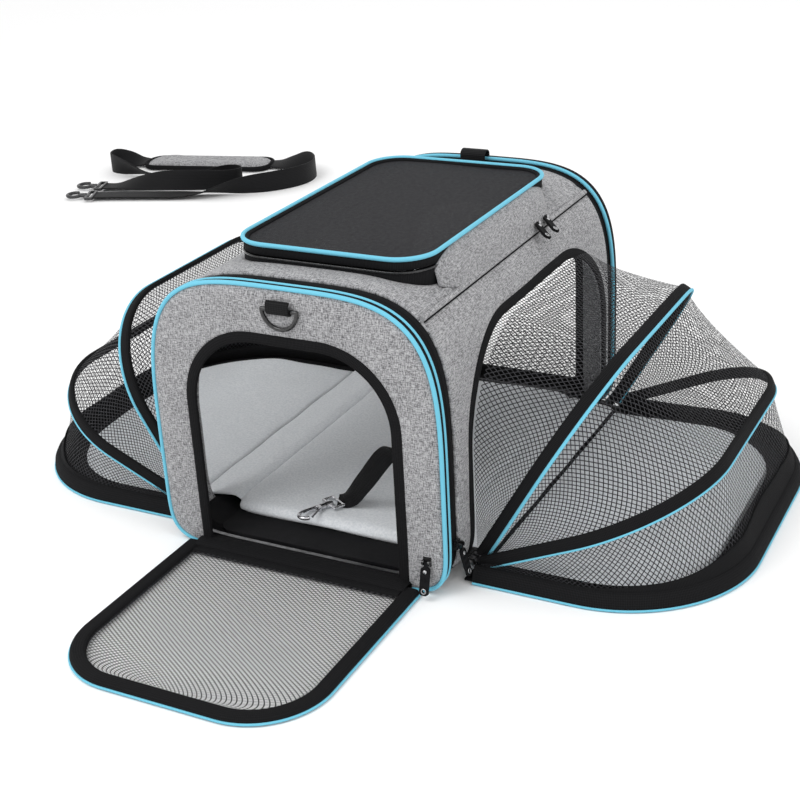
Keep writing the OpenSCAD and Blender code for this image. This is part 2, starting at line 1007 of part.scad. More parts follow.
// Fabric pull hanging from its pin in the slider's bridge
module pull() {
    neck_w = slider_w - 4.6;
    color(black)
        translate([0, -2, 0])
            rotate([hang, 0, 0]) {
                rotate([0, 90, 0])
                    cylinder(r = pull_pin_r, h = slider_w, center = true);
                rotate([0, 90, 0])
                    cylinder(r = pull_t / 2, h = neck_w, center = true);
                translate([-neck_w / 2, -4.5, -pull_t / 2])
                    cube([neck_w, 4.5, pull_t]);
                translate([0, -4 - pull_l / 2, 0])
                    linear_extrude(pull_t, center = true)
                        difference() {
                            rounded_plate(-pull_w / 2, pull_w / 2, -pull_l / 2, pull_l / 2, 3);
                            translate([0, 4 - pull_l / 2])
                                circle(1.5, $fn = 24);
                        }
            }
}

module at_door_slider() {
    translate([door_slider_x, front_y - 3.3, door_slider_z])
        children();
}

module at_side_slider() {
    translate([half_w + 3.3, side_slider_y, side_slider_z])
        rotate([0, 0, 90])
            children();
}

// Lays a slider on the roof's shoulder, with its pull slanting down to the front
module at_top_slider(y) {
    translate([top_slider_x, y, top_slider_z])
        rotate([0, top_slope, 0])
            rotate([0, 0, 45])
                rotate([-90, 0, 0])
                    children();
}

module door_slider() {
    at_door_slider()
        slider();
}

module door_pull() {
    at_door_slider()
        pull();
}

module side_slider() {
    at_side_slider()
        slider();
}

module side_pull() {
    at_side_slider()
        pull();
}

module top_slider_a() {
    at_top_slider(top_a_y)
        slider();
}

module top_pull_a() {
    at_top_slider(top_a_y)
        pull();
}

module top_slider_b() {
    at_top_slider(top_b_y)
        slider();
}

module top_pull_b() {
    at_top_slider(top_b_y)
        pull();
}

module on_strap(place, turn) {
    translate([strap_place[0], strap_place[1], 0])
        rotate([0, 0, strap_turn])
            translate([place[0], place[1], 0])
                rotate([0, 0, turn])
                    children();
}

module strap_webbing() {
    color(black)
        on_strap([0, 0], 0) {
            band(strap_route_a, strap_w, strap_t);
            band(strap_route_b, strap_w, strap_t);
        }
}

module strap_pad() {
    color(heather)
        on_strap(pad_place, pad_turn)
            linear_extrude(pad_t)
                rounded_plate(-pad_l / 2, pad_l / 2, -pad_w / 2, pad_w / 2, 30);
}

// Rectangular adjuster with a middle bar
module tri_glide() {
    slot_w = strap_w + 2;
    color(black)
        on_strap(glide_place, glide_turn)
            translate([0, 0, 0.5])
                linear_extrude(4)
                    difference() {
                        rounded_plate(-11, 11, -slot_w / 2 - 3, slot_w / 2 + 3, 3);
                        translate([-7.5, -slot_w / 2])
                            square([5.5, slot_w]);
                        translate([2, -slot_w / 2])
                            square([5.5, slot_w]);
                    }
}

hook_r = 13;
hook_rod_r = 3;
hook_x = 32;
hook_shank_r = 2.5;
hook_gate_pin_r = 1;
hook_gate_l = 10.6;
hook_gate_foot = [19, -5.5];
// Loop for the webbing, with the swivel barrel on its outer bar
module hook_loop() {
    slot_w = strap_w + 2;
    color(black) {
        translate([0, 0, -2.5])
            linear_extrude(5)
                difference() {
                    rounded_plate(-6, 9, -slot_w / 2 - 3.5, slot_w / 2 + 3.5, 3);
                    translate([-2, -slot_w / 2])
                        square([7, slot_w]);
                }
        swivel_barrel(4.5, hook_shank_r + run_gap, 9 - eps, 15);
    }
}

// Open ring on a shank that turns in the barrel
module strap_hook() {
    color(black) {
        translate([9.2, 0, 0])
            rotate([0, 90, 0])
                cylinder(r = hook_shank_r, h = 8);
        translate([15.3, 0, 0])
            rotate([0, 90, 0])
                cylinder(r = 3.4, h = 4.5);
        translate([hook_x, -6, 0])
            bent_rod(hook_r, hook_rod_r, -110, 270);
        for (side = [-1, 1])
            translate([hook_gate_foot[0] - 2.4, hook_gate_foot[1] - 2, side * 2.2 - 0.7])
                cube([4.8, 6.5, 1.4]);
        translate([hook_gate_foot[0], hook_gate_foot[1], 0])
            cylinder(r = hook_gate_pin_r, h = 4, center = true);
    }
}

// Sprung tongue that closes the mouth of the ring
module strap_hook_gate() {
    color([0.2, 0.2, 0.21])
        translate([hook_gate_foot[0], hook_gate_foot[1], 0])
            difference() {
                union() {
                    cylinder(r = 1.9, h = 2.6, center = true);
                    rotate([0, 90, -56])
                        translate([0, 0, 1])
                            cylinder(r = 1.2, h = hook_gate_l);
                }
                cylinder(r = hook_gate_pin_r + run_gap, h = 4, center = true);
            }
}

module at_near_hook() {
    on_strap(near_hook_place, near_hook_turn)
        translate([0, 0, hook_z])
            children();
}

module at_far_hook() {
    on_strap(far_hook_place, far_hook_turn)
        translate([0, 0, hook_z])
            children();
}

module near_hook_loop() {
    at_near_hook()
        hook_loop();
}

module near_hook() {
    at_near_hook()
        strap_hook();
}

module near_hook_gate() {
    at_near_hook()
        strap_hook_gate();
}

module far_hook_loop() {
    at_far_hook()
        hook_loop();
}

module far_hook() {
    at_far_hook()
        strap_hook();
}

module far_hook_gate() {
    at_far_hook()
        strap_hook_gate();
}

bottom_panel();
base_board();
main_mat();
left_side_panel();
right_side_panel();
top_panel();
front_panel();
rear_panel();
zip_bands();
frame_wires();
side_bindings();
door_bindings();
roof_rim();
pivot_pins();
ring_tabs();
tether_strap();
front_d_ring();
rear_d_ring();
tether_swivel();
tether_hook();
tether_gate();
front_door_border();
front_door_mesh();
rear_door_border();
rear_door_mesh();
flap_band();
flap_mesh();
right_inner_wire();
right_inner_sleeve();
right_outer_wire();
right_outer_sleeve();
right_floor_wire();
right_floor_panel();
right_floor_mat();
right_gores();
left_inner_wire();
left_inner_sleeve();
left_outer_wire();
left_outer_sleeve();
left_floor_wire();
left_floor_panel();
left_floor_mat();
left_gores();
door_slider();
door_pull();
side_slider();
side_pull();
top_slider_a();
top_pull_a();
top_slider_b();
top_pull_b();
strap_webbing();
strap_pad();
tri_glide();
near_hook_loop();
near_hook();
near_hook_gate();
far_hook_loop();
far_hook();
far_hook_gate();
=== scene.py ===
import math
import bpy
import numpy as np
from mathutils import Matrix, Vector


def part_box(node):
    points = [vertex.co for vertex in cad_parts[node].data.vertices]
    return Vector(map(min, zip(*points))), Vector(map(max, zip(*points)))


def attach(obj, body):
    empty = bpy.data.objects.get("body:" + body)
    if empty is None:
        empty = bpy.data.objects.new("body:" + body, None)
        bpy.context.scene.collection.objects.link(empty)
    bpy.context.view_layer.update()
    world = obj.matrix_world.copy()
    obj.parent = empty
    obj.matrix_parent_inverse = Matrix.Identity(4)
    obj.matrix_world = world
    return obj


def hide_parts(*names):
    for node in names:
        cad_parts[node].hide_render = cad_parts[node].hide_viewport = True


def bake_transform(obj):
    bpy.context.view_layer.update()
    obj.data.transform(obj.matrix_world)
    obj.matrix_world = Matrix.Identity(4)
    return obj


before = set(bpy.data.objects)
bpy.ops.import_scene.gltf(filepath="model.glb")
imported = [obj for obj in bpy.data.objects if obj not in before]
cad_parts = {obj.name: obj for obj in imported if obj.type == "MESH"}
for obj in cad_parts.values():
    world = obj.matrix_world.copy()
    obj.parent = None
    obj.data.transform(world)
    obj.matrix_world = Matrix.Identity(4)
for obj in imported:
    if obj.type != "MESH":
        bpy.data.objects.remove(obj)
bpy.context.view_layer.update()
print("frame loaded")

scene = bpy.context.scene
scene.view_settings.view_transform = "Standard"

# Stage: camera, floor, lights.
stageSet = {
    "cameraAt": (0.65609, -1.23600, 0.71136),
    "lookAlong": (-0.43163, 0.80187, -0.41317),
    "roll": -0.0560,
    "lens": 65.2,
    "floorColor": (0.95, 0.95, 0.95, 1),
    "worldStrength": 1.0,
    "keyPower": 26.0,
    "fillPower": 9.0,
}


def unit(v):
    # each vector divided by its own length
    v = np.asarray(v, float)
    return v / np.maximum(np.linalg.norm(v, axis=-1, keepdims=True), 1e-12)


def makeCamera():
    # right and up are crossed from the view line and then turned by the roll
    ahead = unit(stageSet["lookAlong"])
    right = unit(np.cross(ahead, (0, 0, 1)))
    up = np.cross(right, ahead)
    c, s = math.cos(stageSet["roll"]), math.sin(stageSet["roll"])
    right, up = right * c + up * s, up * c - right * s
    data = bpy.data.cameras.new("camera")
    data.lens = stageSet["lens"]
    data.sensor_width = 36
    data.clip_start, data.clip_end = 0.02, 40
    camera = bpy.data.objects.new("camera", data)
    scene.collection.objects.link(camera)
    m = np.eye(4)
    m[:3, 0], m[:3, 1], m[:3, 2], m[:3, 3] = right, up, -ahead, stageSet["cameraAt"]
    camera.matrix_world = Matrix(m.tolist())
    scene.camera = camera


def areaLight(name, place, target, size, power):
    # a round lamp whose -Z axis points from its place to the target
    data = bpy.data.lights.new(name, "AREA")
    data.shape = "DISK"
    data.size, data.energy = size, power
    lamp = bpy.data.objects.new(name, data)
    scene.collection.objects.link(lamp)
    lamp.location = place
    lamp.rotation_euler = (Vector(target) - Vector(place)).to_track_quat("-Z", "Y").to_euler()


makeCamera()
areaLight("keyLight", (-0.9, -1.5, 2.2), (0, 0, 0.1), 1.6, stageSet["keyPower"])
areaLight("fillLight", (2.0, -0.6, 1.4), (0, 0, 0.1), 1.8, stageSet["fillPower"])
world = bpy.data.worlds.new("studio")
scene.world = world
world.use_nodes = True
backdrop = world.node_tree.nodes["Background"]
backdrop.inputs["Color"].default_value = (1, 1, 1, 1)
backdrop.inputs["Strength"].default_value = stageSet["worldStrength"]
print("stage ready")

# Shader groups.


def newGroup(name, inputs, outputs):
    # a node group with named sockets, each input with its own first value
    tree = bpy.data.node_groups.new(name, "ShaderNodeTree")
    for label, kind, value in inputs:
        socket = tree.interface.new_socket(label, in_out="INPUT", socket_type=kind)
        if value is not None:
            socket.default_value = value
    for label, kind in outputs:
        tree.interface.new_socket(label, in_out="OUTPUT", socket_type=kind)
    start = tree.nodes.new("NodeGroupInput")
    end = tree.nodes.new("NodeGroupOutput")
    return tree, start, end


class Wires:
    # short names for adding nodes to one tree
    def __init__(self, tree):
        self.tree = tree

    def link(self, a, b):
        self.tree.links.new(a, b)

    def set(self, socket, value):
        # a socket takes a link from another socket, or a plain value
        if isinstance(value, bpy.types.NodeSocket):
            self.link(value, socket)
        else:
            socket.default_value = value

    def math(self, kind, a, b=0.0, clamp=False):
        # one step of arithmetic on two values
        n = self.tree.nodes.new("ShaderNodeMath")
        n.operation, n.use_clamp = kind, clamp
        self.set(n.inputs[0], a)
        self.set(n.inputs[1], b)
        return n.outputs[0]

    def product(self, a, b):
        return self.math("MULTIPLY", a, b)

    def mixColor(self, factor, a, b):
        # color a where the factor is 0 and color b where it is 1
        n = self.tree.nodes.new("ShaderNodeMix")
        n.data_type = "RGBA"
        self.set(n.inputs[0], factor)
        self.set(n.inputs[6], a)
        self.set(n.inputs[7], b)
        return n.outputs[2]

    def scaled(self, vector, scale, turn=(0, 0, 0)):
        # coordinates stretched along each axis and then turned
        n = self.tree.nodes.new("ShaderNodeMapping")
        self.set(n.inputs["Vector"], vector)
        n.inputs["Scale"].default_value = scale
        n.inputs["Rotation"].default_value = turn
        return n.outputs[0]

    def noise(self, vector, scale, detail=2.0, rough=0.5):
        # smooth noise of a few layers
        n = self.tree.nodes.new("ShaderNodeTexNoise")
        self.set(n.inputs["Vector"], vector)
        n.inputs["Scale"].default_value = scale
        n.inputs["Detail"].default_value = detail
        n.inputs["Roughness"].default_value = rough
        return n.outputs["Fac"]

    def remap(self, value, low, high, toLow=0.0, toHigh=1.0):
        # the range low to high stretched to toLow to toHigh, and held at its ends
        n = self.tree.nodes.new("ShaderNodeMapRange")
        for socket, v in zip(n.inputs[:5], (value, low, high, toLow, toHigh)):
            self.set(socket, v)
        return n.outputs[0]

    def split(self, vector):
        # the three numbers of a vector
        n = self.tree.nodes.new("ShaderNodeSeparateXYZ")
        self.set(n.inputs[0], vector)
        return n.outputs


def heatherGroup():
    # long thin noise along each thread picks light or dark yarn, and two crossed waves raise the weave
    tree, start, end = newGroup("heatherWeave", [
        ("Vector", "NodeSocketVector", None), ("Light", "NodeSocketColor", (0.5, 0.5, 0.5, 1)),
        ("Dark", "NodeSocketColor", (0.1, 0.1, 0.1, 1)), ("Pitch", "NodeSocketFloat", 900.0)],
        [("Color", "NodeSocketColor"), ("Height", "NodeSocketFloat")])
    w = Wires(tree)
    v = start.outputs["Vector"]
    warp = w.noise(w.scaled(v, (1250, 170, 700)), 1.0, 2.0, 0.6)
    weft = w.noise(w.scaled(v, (170, 1250, 700), (0, 0, 0.02)), 1.0, 2.0, 0.6)
    cloud = w.noise(v, 28.0, 3.0)
    fleck = w.noise(w.scaled(v, (900, 620, 600)), 1.0, 3.0, 0.7)
    yarn = w.math("ADD", w.remap(warp, 0.40, 0.60, 0.0, 0.5), w.remap(weft, 0.40, 0.60, 0.0, 0.5))
    yarn = w.math("ADD", yarn, w.remap(fleck, 0.3, 0.7, -0.36, 0.36))
    yarn = w.math("ADD", yarn, w.remap(cloud, 0.3, 0.7, -0.06, 0.06), clamp=True)
    w.link(w.mixColor(yarn, start.outputs["Dark"], start.outputs["Light"]), end.inputs["Color"])
    xyz = w.split(v)
    turns = w.product(start.outputs["Pitch"], 2 * math.pi)
    up = w.math("SINE", w.product(xyz[0], turns))
    across = w.math("SINE", w.product(xyz[1], turns))
    w.link(w.math("ADD", w.product(w.product(up, across), 0.5), w.product(yarn, 0.8)), end.inputs["Height"])
    return tree


def ribGroup():
    # a wave across the tape raises its ribs and paints a highlight on their crests, and fine noise breaks
    # their colour
    tree, start, end = newGroup("tapeRibs", [
        ("Vector", "NodeSocketVector", None), ("Color", "NodeSocketColor", (0.02, 0.02, 0.02, 1)),
        ("Ribs per metre", "NodeSocketFloat", 700.0)],
        [("Color", "NodeSocketColor"), ("Height", "NodeSocketFloat")])
    w = Wires(tree)
    v = start.outputs["Vector"]
    xyz = w.split(v)
    ribs = start.outputs["Ribs per metre"]
    rib = w.math("SINE", w.product(xyz[0], w.product(ribs, 2 * math.pi)))
    cross = w.math("SINE", w.product(xyz[1], w.product(ribs, 4.1)))
    fuzz = w.noise(w.scaled(v, (900, 900, 900)), 1.0, 2.0)
    h = w.math("ADD", w.product(rib, 0.5), w.product(cross, 0.25))
    w.link(w.math("ADD", h, fuzz), end.inputs["Height"])
    # painted highlight: the rib crests are lightened toward grey by their own height
    light = w.mixColor(w.remap(h, -0.6, 0.75, 0.0, 0.12), start.outputs["Color"], (0.09, 0.09, 0.095, 1))
    w.link(w.mixColor(w.remap(fuzz, 0.4, 0.75, 0.0, 0.4), light, start.outputs["Color"]), end.inputs["Color"])
    return tree


def netGroup():
    # two crossed waves leave open cells between round threads
    tree, start, end = newGroup("openNet", [
        ("Vector", "NodeSocketVector", None), ("Cells per metre", "NodeSocketFloat", 300.0),
        ("Thread", "NodeSocketFloat", 0.5)],
        [("Alpha", "NodeSocketFloat"), ("Height", "NodeSocketFloat"), ("Sheen", "NodeSocketFloat")])
    w = Wires(tree)
    xyz = w.split(start.outputs["Vector"])
    turn = w.product(start.outputs["Cells per metre"], math.pi)
    slanted = w.product(xyz[1], 0.62)
    a = w.math("ABSOLUTE", w.math("SINE", w.product(w.math("ADD", xyz[0], slanted), turn)))
    b = w.math("ABSOLUTE", w.math("SINE", w.product(w.math("SUBTRACT", xyz[0], slanted), turn)))
    near = w.math("MINIMUM", a, b)
    thread = start.outputs["Thread"]
    w.link(w.remap(near, thread, w.math("ADD", thread, 0.08), 1.0, 0.0), end.inputs["Alpha"])
    w.link(w.math("SUBTRACT", 1.0, near), end.inputs["Height"])
    # noise for the painted sheen of the threads
    w.link(w.noise(start.outputs["Vector"], 240.0, 2.0), end.inputs["Sheen"])
    return tree


def wearGroup():
    # broad and fine noise together vary a smooth finish
    tree, start, end = newGroup("handledWear", [
        ("Vector", "NodeSocketVector", None), ("Scale", "NodeSocketFloat", 60.0)],
        [("Mask", "NodeSocketFloat"), ("Height", "NodeSocketFloat")])
    w = Wires(tree)
    n = tree.nodes.new("ShaderNodeTexNoise")
    w.link(start.outputs["Vector"], n.inputs["Vector"])
    w.link(start.outputs["Scale"], n.inputs["Scale"])
    n.inputs["Detail"].default_value = 5
    fine = w.noise(start.outputs["Vector"], 900.0, 2.0)
    w.link(w.remap(n.outputs["Fac"], 0.35, 0.7), end.inputs["Mask"])
    w.link(w.math("ADD", n.outputs["Fac"], w.product(fine, 0.4)), end.inputs["Height"])
    return tree


heatherWeave, tapeRibs, openNet, handledWear = heatherGroup(), ribGroup(), netGroup(), wearGroup()


def newMaterial(name):
    # a material with its node helper and its shader
    m = bpy.data.materials.new(name)
    m.use_nodes = True
    return m, Wires(m.node_tree), m.node_tree.nodes["Principled BSDF"]


def coordinate(w, onCloth):
    # the cloth's own lengths, or the place in the object
    n = w.tree.nodes.new("ShaderNodeTexCoord")
    return n.outputs["UV" if onCloth else "Object"]


def placeGroup(w, group, **values):
    # one use of a group, whose socket names have spaces for underscores
    n = w.tree.nodes.new("ShaderNodeGroup")
    n.node_tree = group
    for label, value in values.items():
        w.set(n.inputs[label.replace("_", " ")], value)
    return n


def addBump(w, shader, height, strength, distance):
    # height pushes the normal
    n = w.tree.nodes.new("ShaderNodeBump")
    n.inputs["Strength"].default_value = strength
    n.inputs["Distance"].default_value = distance
    w.link(height, n.inputs["Height"])
    w.link(n.outputs[0], shader.inputs["Normal"])


def heatherCloth(name, light, dark, onCloth=True):
    # matt woven cloth of mixed light and dark yarn
    m, w, shader = newMaterial(name)
    g = placeGroup(w, heatherWeave, Vector=coordinate(w, onCloth), Light=(*light, 1), Dark=(*dark, 1))
    w.link(g.outputs["Color"], shader.inputs["Base Color"])
    shader.inputs["Roughness"].default_value = 0.88
    shader.inputs["Sheen Weight"].default_value = 0.12
    shader.inputs["Sheen Roughness"].default_value = 0.5
    addBump(w, shader, g.outputs["Height"], 0.35, 0.0006)
    return m


def tapeCloth(name, color, onCloth=True, ribs=700.0, rough=0.8, sheen=0.0):
    # ribbed woven tape with hardly any gloss
    m, w, shader = newMaterial(name)
    g = placeGroup(w, tapeRibs, Vector=coordinate(w, onCloth), Color=(*color, 1), Ribs_per_metre=ribs)
    w.link(g.outputs["Color"], shader.inputs["Base Color"])
    shader.inputs["Roughness"].default_value = rough
    shader.inputs["Specular IOR Level"].default_value = 0.08
    shader.inputs["Sheen Weight"].default_value = sheen
    addBump(w, shader, g.outputs["Height"], 0.4, 0.0005)
    return m


def netCloth(name, color, cells, thread, sheenTint):
    # knitted threads round see-through cells, with painted sheen where noise lightens them toward the sheen
    # tint
    m, w, shader = newMaterial(name)
    g = placeGroup(w, openNet, Vector=coordinate(w, True), Cells_per_metre=cells, Thread=thread)
    # painted sheen: noise mixes the threads part way to a lighter grey
    shade = w.remap(g.outputs["Sheen"], 0.35, 0.7, 0.0, 0.6)
    w.link(w.mixColor(shade, (*color, 1), (*sheenTint, 1)), shader.inputs["Base Color"])
    w.link(g.outputs["Alpha"], shader.inputs["Alpha"])
    shader.inputs["Roughness"].default_value = 0.7
    shader.inputs["Specular IOR Level"].default_value = 0.15
    addBump(w, shader, g.outputs["Height"], 0.5, 0.0006)
    return m


def smoothFinish(name, color, second, rough, metallic=0.0, coat=0.0, scale=60.0, bump=0.08, shine=0.5):
    # metal, plastic or coated cloth, two shades and its gloss mixed by wear
    m, w, shader = newMaterial(name)
    g = placeGroup(w, handledWear, Vector=coordinate(w, False), Scale=scale)
    w.link(w.mixColor(g.outputs["Mask"], (*color, 1), (*second, 1)), shader.inputs["Base Color"])
    gloss = w.remap(g.outputs["Mask"], 0.0, 1.0, rough * 0.8, min(rough * 1.25, 1.0))
    w.link(gloss, shader.inputs["Roughness"])
    shader.inputs["Metallic"].default_value = metallic
    shader.inputs["Specular IOR Level"].default_value = shine
    shader.inputs["Coat Weight"].default_value = coat
    addBump(w, shader, g.outputs["Height"], bump, 0.0004)
    return m


def fleeceCloth(name, light, shade):
    # clumps of short pile from layered noise, darker in their hollows
    m, w, shader = newMaterial(name)
    v = coordinate(w, False)
    clump = w.noise(v, 420.0, 4.0, 0.65)
    broad = w.noise(v, 24.0, 3.0)
    color = w.mixColor(w.remap(clump, 0.35, 0.65), (*shade, 1), (*light, 1))
    w.link(w.mixColor(w.remap(broad, 0.35, 0.7, 0.0, 0.25), color, (*shade, 1)), shader.inputs["Base Color"])
    shader.inputs["Roughness"].default_value = 0.95
    shader.inputs["Sheen Weight"].default_value = 0.3
    addBump(w, shader, clump, 0.5, 0.0012)
    return m


colors = {
    "heatherLight": (0.49, 0.49, 0.50),
    "heatherDark": (0.075, 0.074, 0.08),
    "black": (0.0045, 0.0045, 0.005),
    "piping": (0.17, 0.56, 0.73),
    "fleece": (0.82, 0.84, 0.86),
    "fleeceShade": (0.66, 0.69, 0.72),
    "net": (0.012, 0.012, 0.014),
    "sideNet": (0.02, 0.02, 0.022),
}
cloth = heatherCloth("heatherCloth", colors["heatherLight"], colors["heatherDark"])
clothOnCad = heatherCloth("heatherClothOnFrame", colors["heatherLight"], colors["heatherDark"], False)
tape = tapeCloth("blackTape", colors["black"])
tapeOnCad = tapeCloth("blackTapeOnFrame", colors["black"], False)
pipingCloth = tapeCloth("bluePiping", colors["piping"], True, 1500.0, 0.55, 0.05)
webbing = tapeCloth("blackWebbing", colors["black"], True, 560.0, 0.5, 0.02)
# the last colour of each net is the grey of its painted sheen
flapNet = netCloth("roofNet", colors["net"], 480.0, 0.965, (0.03, 0.03, 0.033))
sideNet = netCloth("sideNet", colors["sideNet"], 195.0, 0.31, (0.05, 0.05, 0.055))
doorNet = netCloth("doorNet", colors["sideNet"], 260.0, 0.34, (0.08, 0.08, 0.085))
fleece = fleeceCloth("paleFleece", colors["fleece"], colors["fleeceShade"])
lining = smoothFinish("blackLining", (0.008, 0.008, 0.009), (0.014, 0.014, 0.015), 0.75,
                      scale=35.0, shine=0.12)
chrome = smoothFinish("chromedClip", (0.72, 0.72, 0.74), (0.55, 0.55, 0.57), 0.16, 1.0, scale=120.0)
blackEnamel = smoothFinish("blackEnamel", (0.012, 0.012, 0.013), (0.03, 0.03, 0.03), 0.28, 0.4, 0.4, 200.0)
mouldedPlastic = smoothFinish("mouldedBlack", (0.014, 0.014, 0.015), (0.028, 0.028, 0.03), 0.34,
                              0.0, 0.1, 260.0)
springSteel = smoothFinish("springSteel", (0.3, 0.3, 0.31), (0.2, 0.2, 0.2), 0.35, 1.0, 0.0, 180.0)
rivetMetal = smoothFinish("paleRivet", (0.6, 0.6, 0.61), (0.45, 0.45, 0.46), 0.3, 1.0, 0.0, 180.0)
print("materials ready")

# Mesh helpers.


def gridFaces(rows, cols, wrapRows, wrapCols):
    # each cell of the grid joins four neighbouring points
    r = np.arange(rows if wrapRows else rows - 1)
    c = np.arange(cols if wrapCols else cols - 1)
    r, c = [x.ravel() for x in np.meshgrid(r, c, indexing="ij")]
    r1, c1 = (r + 1) % rows, (c + 1) % cols
    return np.stack([r * cols + c, r1 * cols + c, r1 * cols + c1, r * cols + c1], 1)


def addMesh(name, points, faces, material, uv=None, capLoops=(), smooth=True):
    # a mesh of four-sided faces and then flat caps, with one uv for each corner of the faces
    mesh = bpy.data.meshes.new(name)
    mesh.from_pydata(points.tolist(), [], faces.tolist() + [list(map(int, loop)) for loop in capLoops])
    if uv is not None:
        layer = mesh.uv_layers.new(name="cloth")
        flat = np.zeros((len(mesh.loops), 2))
        flat[:len(uv)] = uv
        layer.data.foreach_set("uv", flat.ravel())
    mesh.polygons.foreach_set("use_smooth", [smooth] * len(mesh.polygons))
    mesh.materials.append(material)
    obj = bpy.data.objects.new(name, mesh)
    scene.collection.objects.link(obj)
    return obj


def addGrid(name, grid, material, uvGrid, wrapRows=False, wrapCols=False, capLoops=()):
    # a mesh with one vertex for each point of the grid and one face for each cell
    rows, cols = grid.shape[:2]
    faces = gridFaces(rows, cols, wrapRows, wrapCols)
    # corners on a wrapped edge take the length past the last point
    r, c = faces // cols, faces % cols
    jumpR = (r - r[:, :1]) < -1
    jumpC = (c - c[:, :1]) < -1
    u = uvGrid[r, c, 0] + jumpR * (uvGrid[-1, 0, 0] - uvGrid[0, 0, 0]) * rows / max(rows - 1, 1)
    v = uvGrid[r, c, 1] + jumpC * (uvGrid[0, -1, 1] - uvGrid[0, 0, 1]) * cols / max(cols - 1, 1)
    return addMesh(name, grid.reshape(-1, 3), faces, material, np.stack([u, v], -1).reshape(-1, 2), capLoops)


def lengthAlong(path):
    # running sum of the steps between neighbouring points
    return np.concatenate([[0], np.cumsum(np.linalg.norm(np.diff(path, axis=0), axis=1))])


def resample(path, count, closed=False):
    # points at equal steps of length along the path
    path = np.asarray(path, float)
    p = np.vstack([path, path[:1]]) if closed else path
    s = lengthAlong(p)
    t = np.linspace(0, s[-1], count + 1)[:-1] if closed else np.linspace(0, s[-1], count)
    return np.stack([np.interp(t, s, p[:, k]) for k in range(p.shape[1])], 1)


def tangents(path, closed):
    # unit steps from the point before to the point after
    if closed:
        return unit(np.roll(path, -1, 0) - np.roll(path, 1, 0))
    return unit(np.gradient(path, axis=0))


def circleProfile(radius, sides):
    # equal turns round a circle
    a = np.arange(sides) * 2 * np.pi / sides
    return np.stack([np.cos(a), np.sin(a)], 1) * radius


def barProfile(width, thick, corner=None, steps=3, crown=0.0):
    # a rectangle with rounded corners, whose broad faces rise by crown in the middle
    r = min(thick, width) * 0.48 if corner is None else corner
    a = np.linspace(0, np.pi / 2, steps + 1)
    flatX, flatY = width / 2 - r, thick / 2 - r
    out = []
    for k, (sx, sy) in enumerate([(1, 1), (-1, 1), (-1, -1), (1, -1)]):
        turn = a + k * np.pi / 2
        out.append(np.stack([sx * flatX + r * np.cos(turn), sy * flatY + r * np.sin(turn)], 1))
        if k in (0, 2):
            x = np.linspace(sx * flatX, -sx * flatX, 5)[1:-1]
            out.append(np.stack([x, np.full(3, sy * thick / 2)], 1))
    p = np.vstack(out)
    p[:, 1] += np.sign(p[:, 1]) * crown * (1 - (2 * p[:, 0] / width) ** 2)
    return p


def carry(name, path, across, up, profile, closed, material):
    # profile carried along the path: point = path + across * x + up * y
    path = np.asarray(path, float)
    across = np.broadcast_to(np.asarray(across, float), path.shape)
    up = np.broadcast_to(np.asarray(up, float), path.shape)
    grid = path[:, None] + across[:, None] * profile[None, :, :1] + up[:, None] * profile[None, :, 1:2]
    s = lengthAlong(np.vstack([path, path[:1]]))[: len(path)]
    edge = lengthAlong(np.vstack([profile, profile[:1]]))[: len(profile)]
    uv = np.stack(np.meshgrid(s, edge, indexing="ij"), -1)
    n, k = len(path), len(profile)
    caps = [] if closed else [list(range(k))[::-1], list(range((n - 1) * k, n * k))]
    obj = addGrid(name, grid, material, uv, closed, True, caps)
    for cap in obj.data.polygons[len(obj.data.polygons) - len(caps):]:
        cap.use_smooth = False
    fixNormals(obj)
    return obj


def fixNormals(obj):
    # a closed shell whose signed volume is negative is turned round
    mesh = obj.data
    mesh.calc_loop_triangles()
    tri = np.zeros(len(mesh.loop_triangles) * 3, int)
    mesh.loop_triangles.foreach_get("vertices", tri)
    co = np.zeros(len(mesh.vertices) * 3)
    mesh.vertices.foreach_get("co", co)
    t = co.reshape(-1, 3)[tri.reshape(-1, 3)]
    if np.einsum("ij,ij->i", t[:, 0], np.cross(t[:, 1], t[:, 2])).sum() < 0:
        mesh.flip_normals()


def faceTo(obj, direction):
    # an open sheet whose summed normal points against the direction is turned round
    mesh = obj.data
    n = np.zeros(len(mesh.polygons) * 3)
    area = np.zeros(len(mesh.polygons))
    mesh.polygons.foreach_get("normal", n)
    mesh.polygons.foreach_get("area", area)
    if (n.reshape(-1, 3) * area[:, None]).sum(0) @ np.asarray(direction, float) < 0:
        mesh.flip_normals()


def tube(name, path, radius, material, closed=False, sides=10):
    # a circle carried along the path on frames that turn as little as they can
    path = np.asarray(path, float)
    t = tangents(path, closed)
    side = np.zeros_like(path)
    start = np.cross(t[0], (0, 0, 1))
    side[0] = unit(start if np.linalg.norm(start) > 0.05 else np.cross(t[0], (1, 0, 0)))
    for i in range(1, len(path)):
        side[i] = unit(side[i - 1] - t[i] * (side[i - 1] @ t[i]))
    if closed:
        # the turn left over at the seam is shared out along the loop
        last = unit(side[-1] - t[0] * (side[-1] @ t[0]))
        gap = math.atan2(np.cross(last, side[0]) @ t[0], last @ side[0])
        a = (np.arange(len(path)) / len(path) * gap)[:, None]
        side = side * np.cos(a) + np.cross(t, side) * np.sin(a)
    return carry(name, path, side, np.cross(t, side), circleProfile(radius, sides), closed, material)


def addSolidify(obj, thick, offset=-1.0):
    # a sheet gets its thickness behind its face, unless the offset says otherwise
    m = obj.modifiers.new("thickness", "SOLIDIFY")
    m.thickness, m.offset = thick, offset
    m.use_even_offset = False


def settle(obj, body, slotName, *nodes):
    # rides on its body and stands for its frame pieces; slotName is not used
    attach(obj, body)
    if nodes:
        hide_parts(*nodes)
    return obj


def paint(material, *nodes):
    # every slot of a frame piece gets the material, and a piece with no slot gets one
    for n in nodes:
        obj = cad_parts[n]
        if not obj.material_slots:
            obj.data.materials.append(material)
        for held in obj.material_slots:
            held.material = material


print("helpers ready")

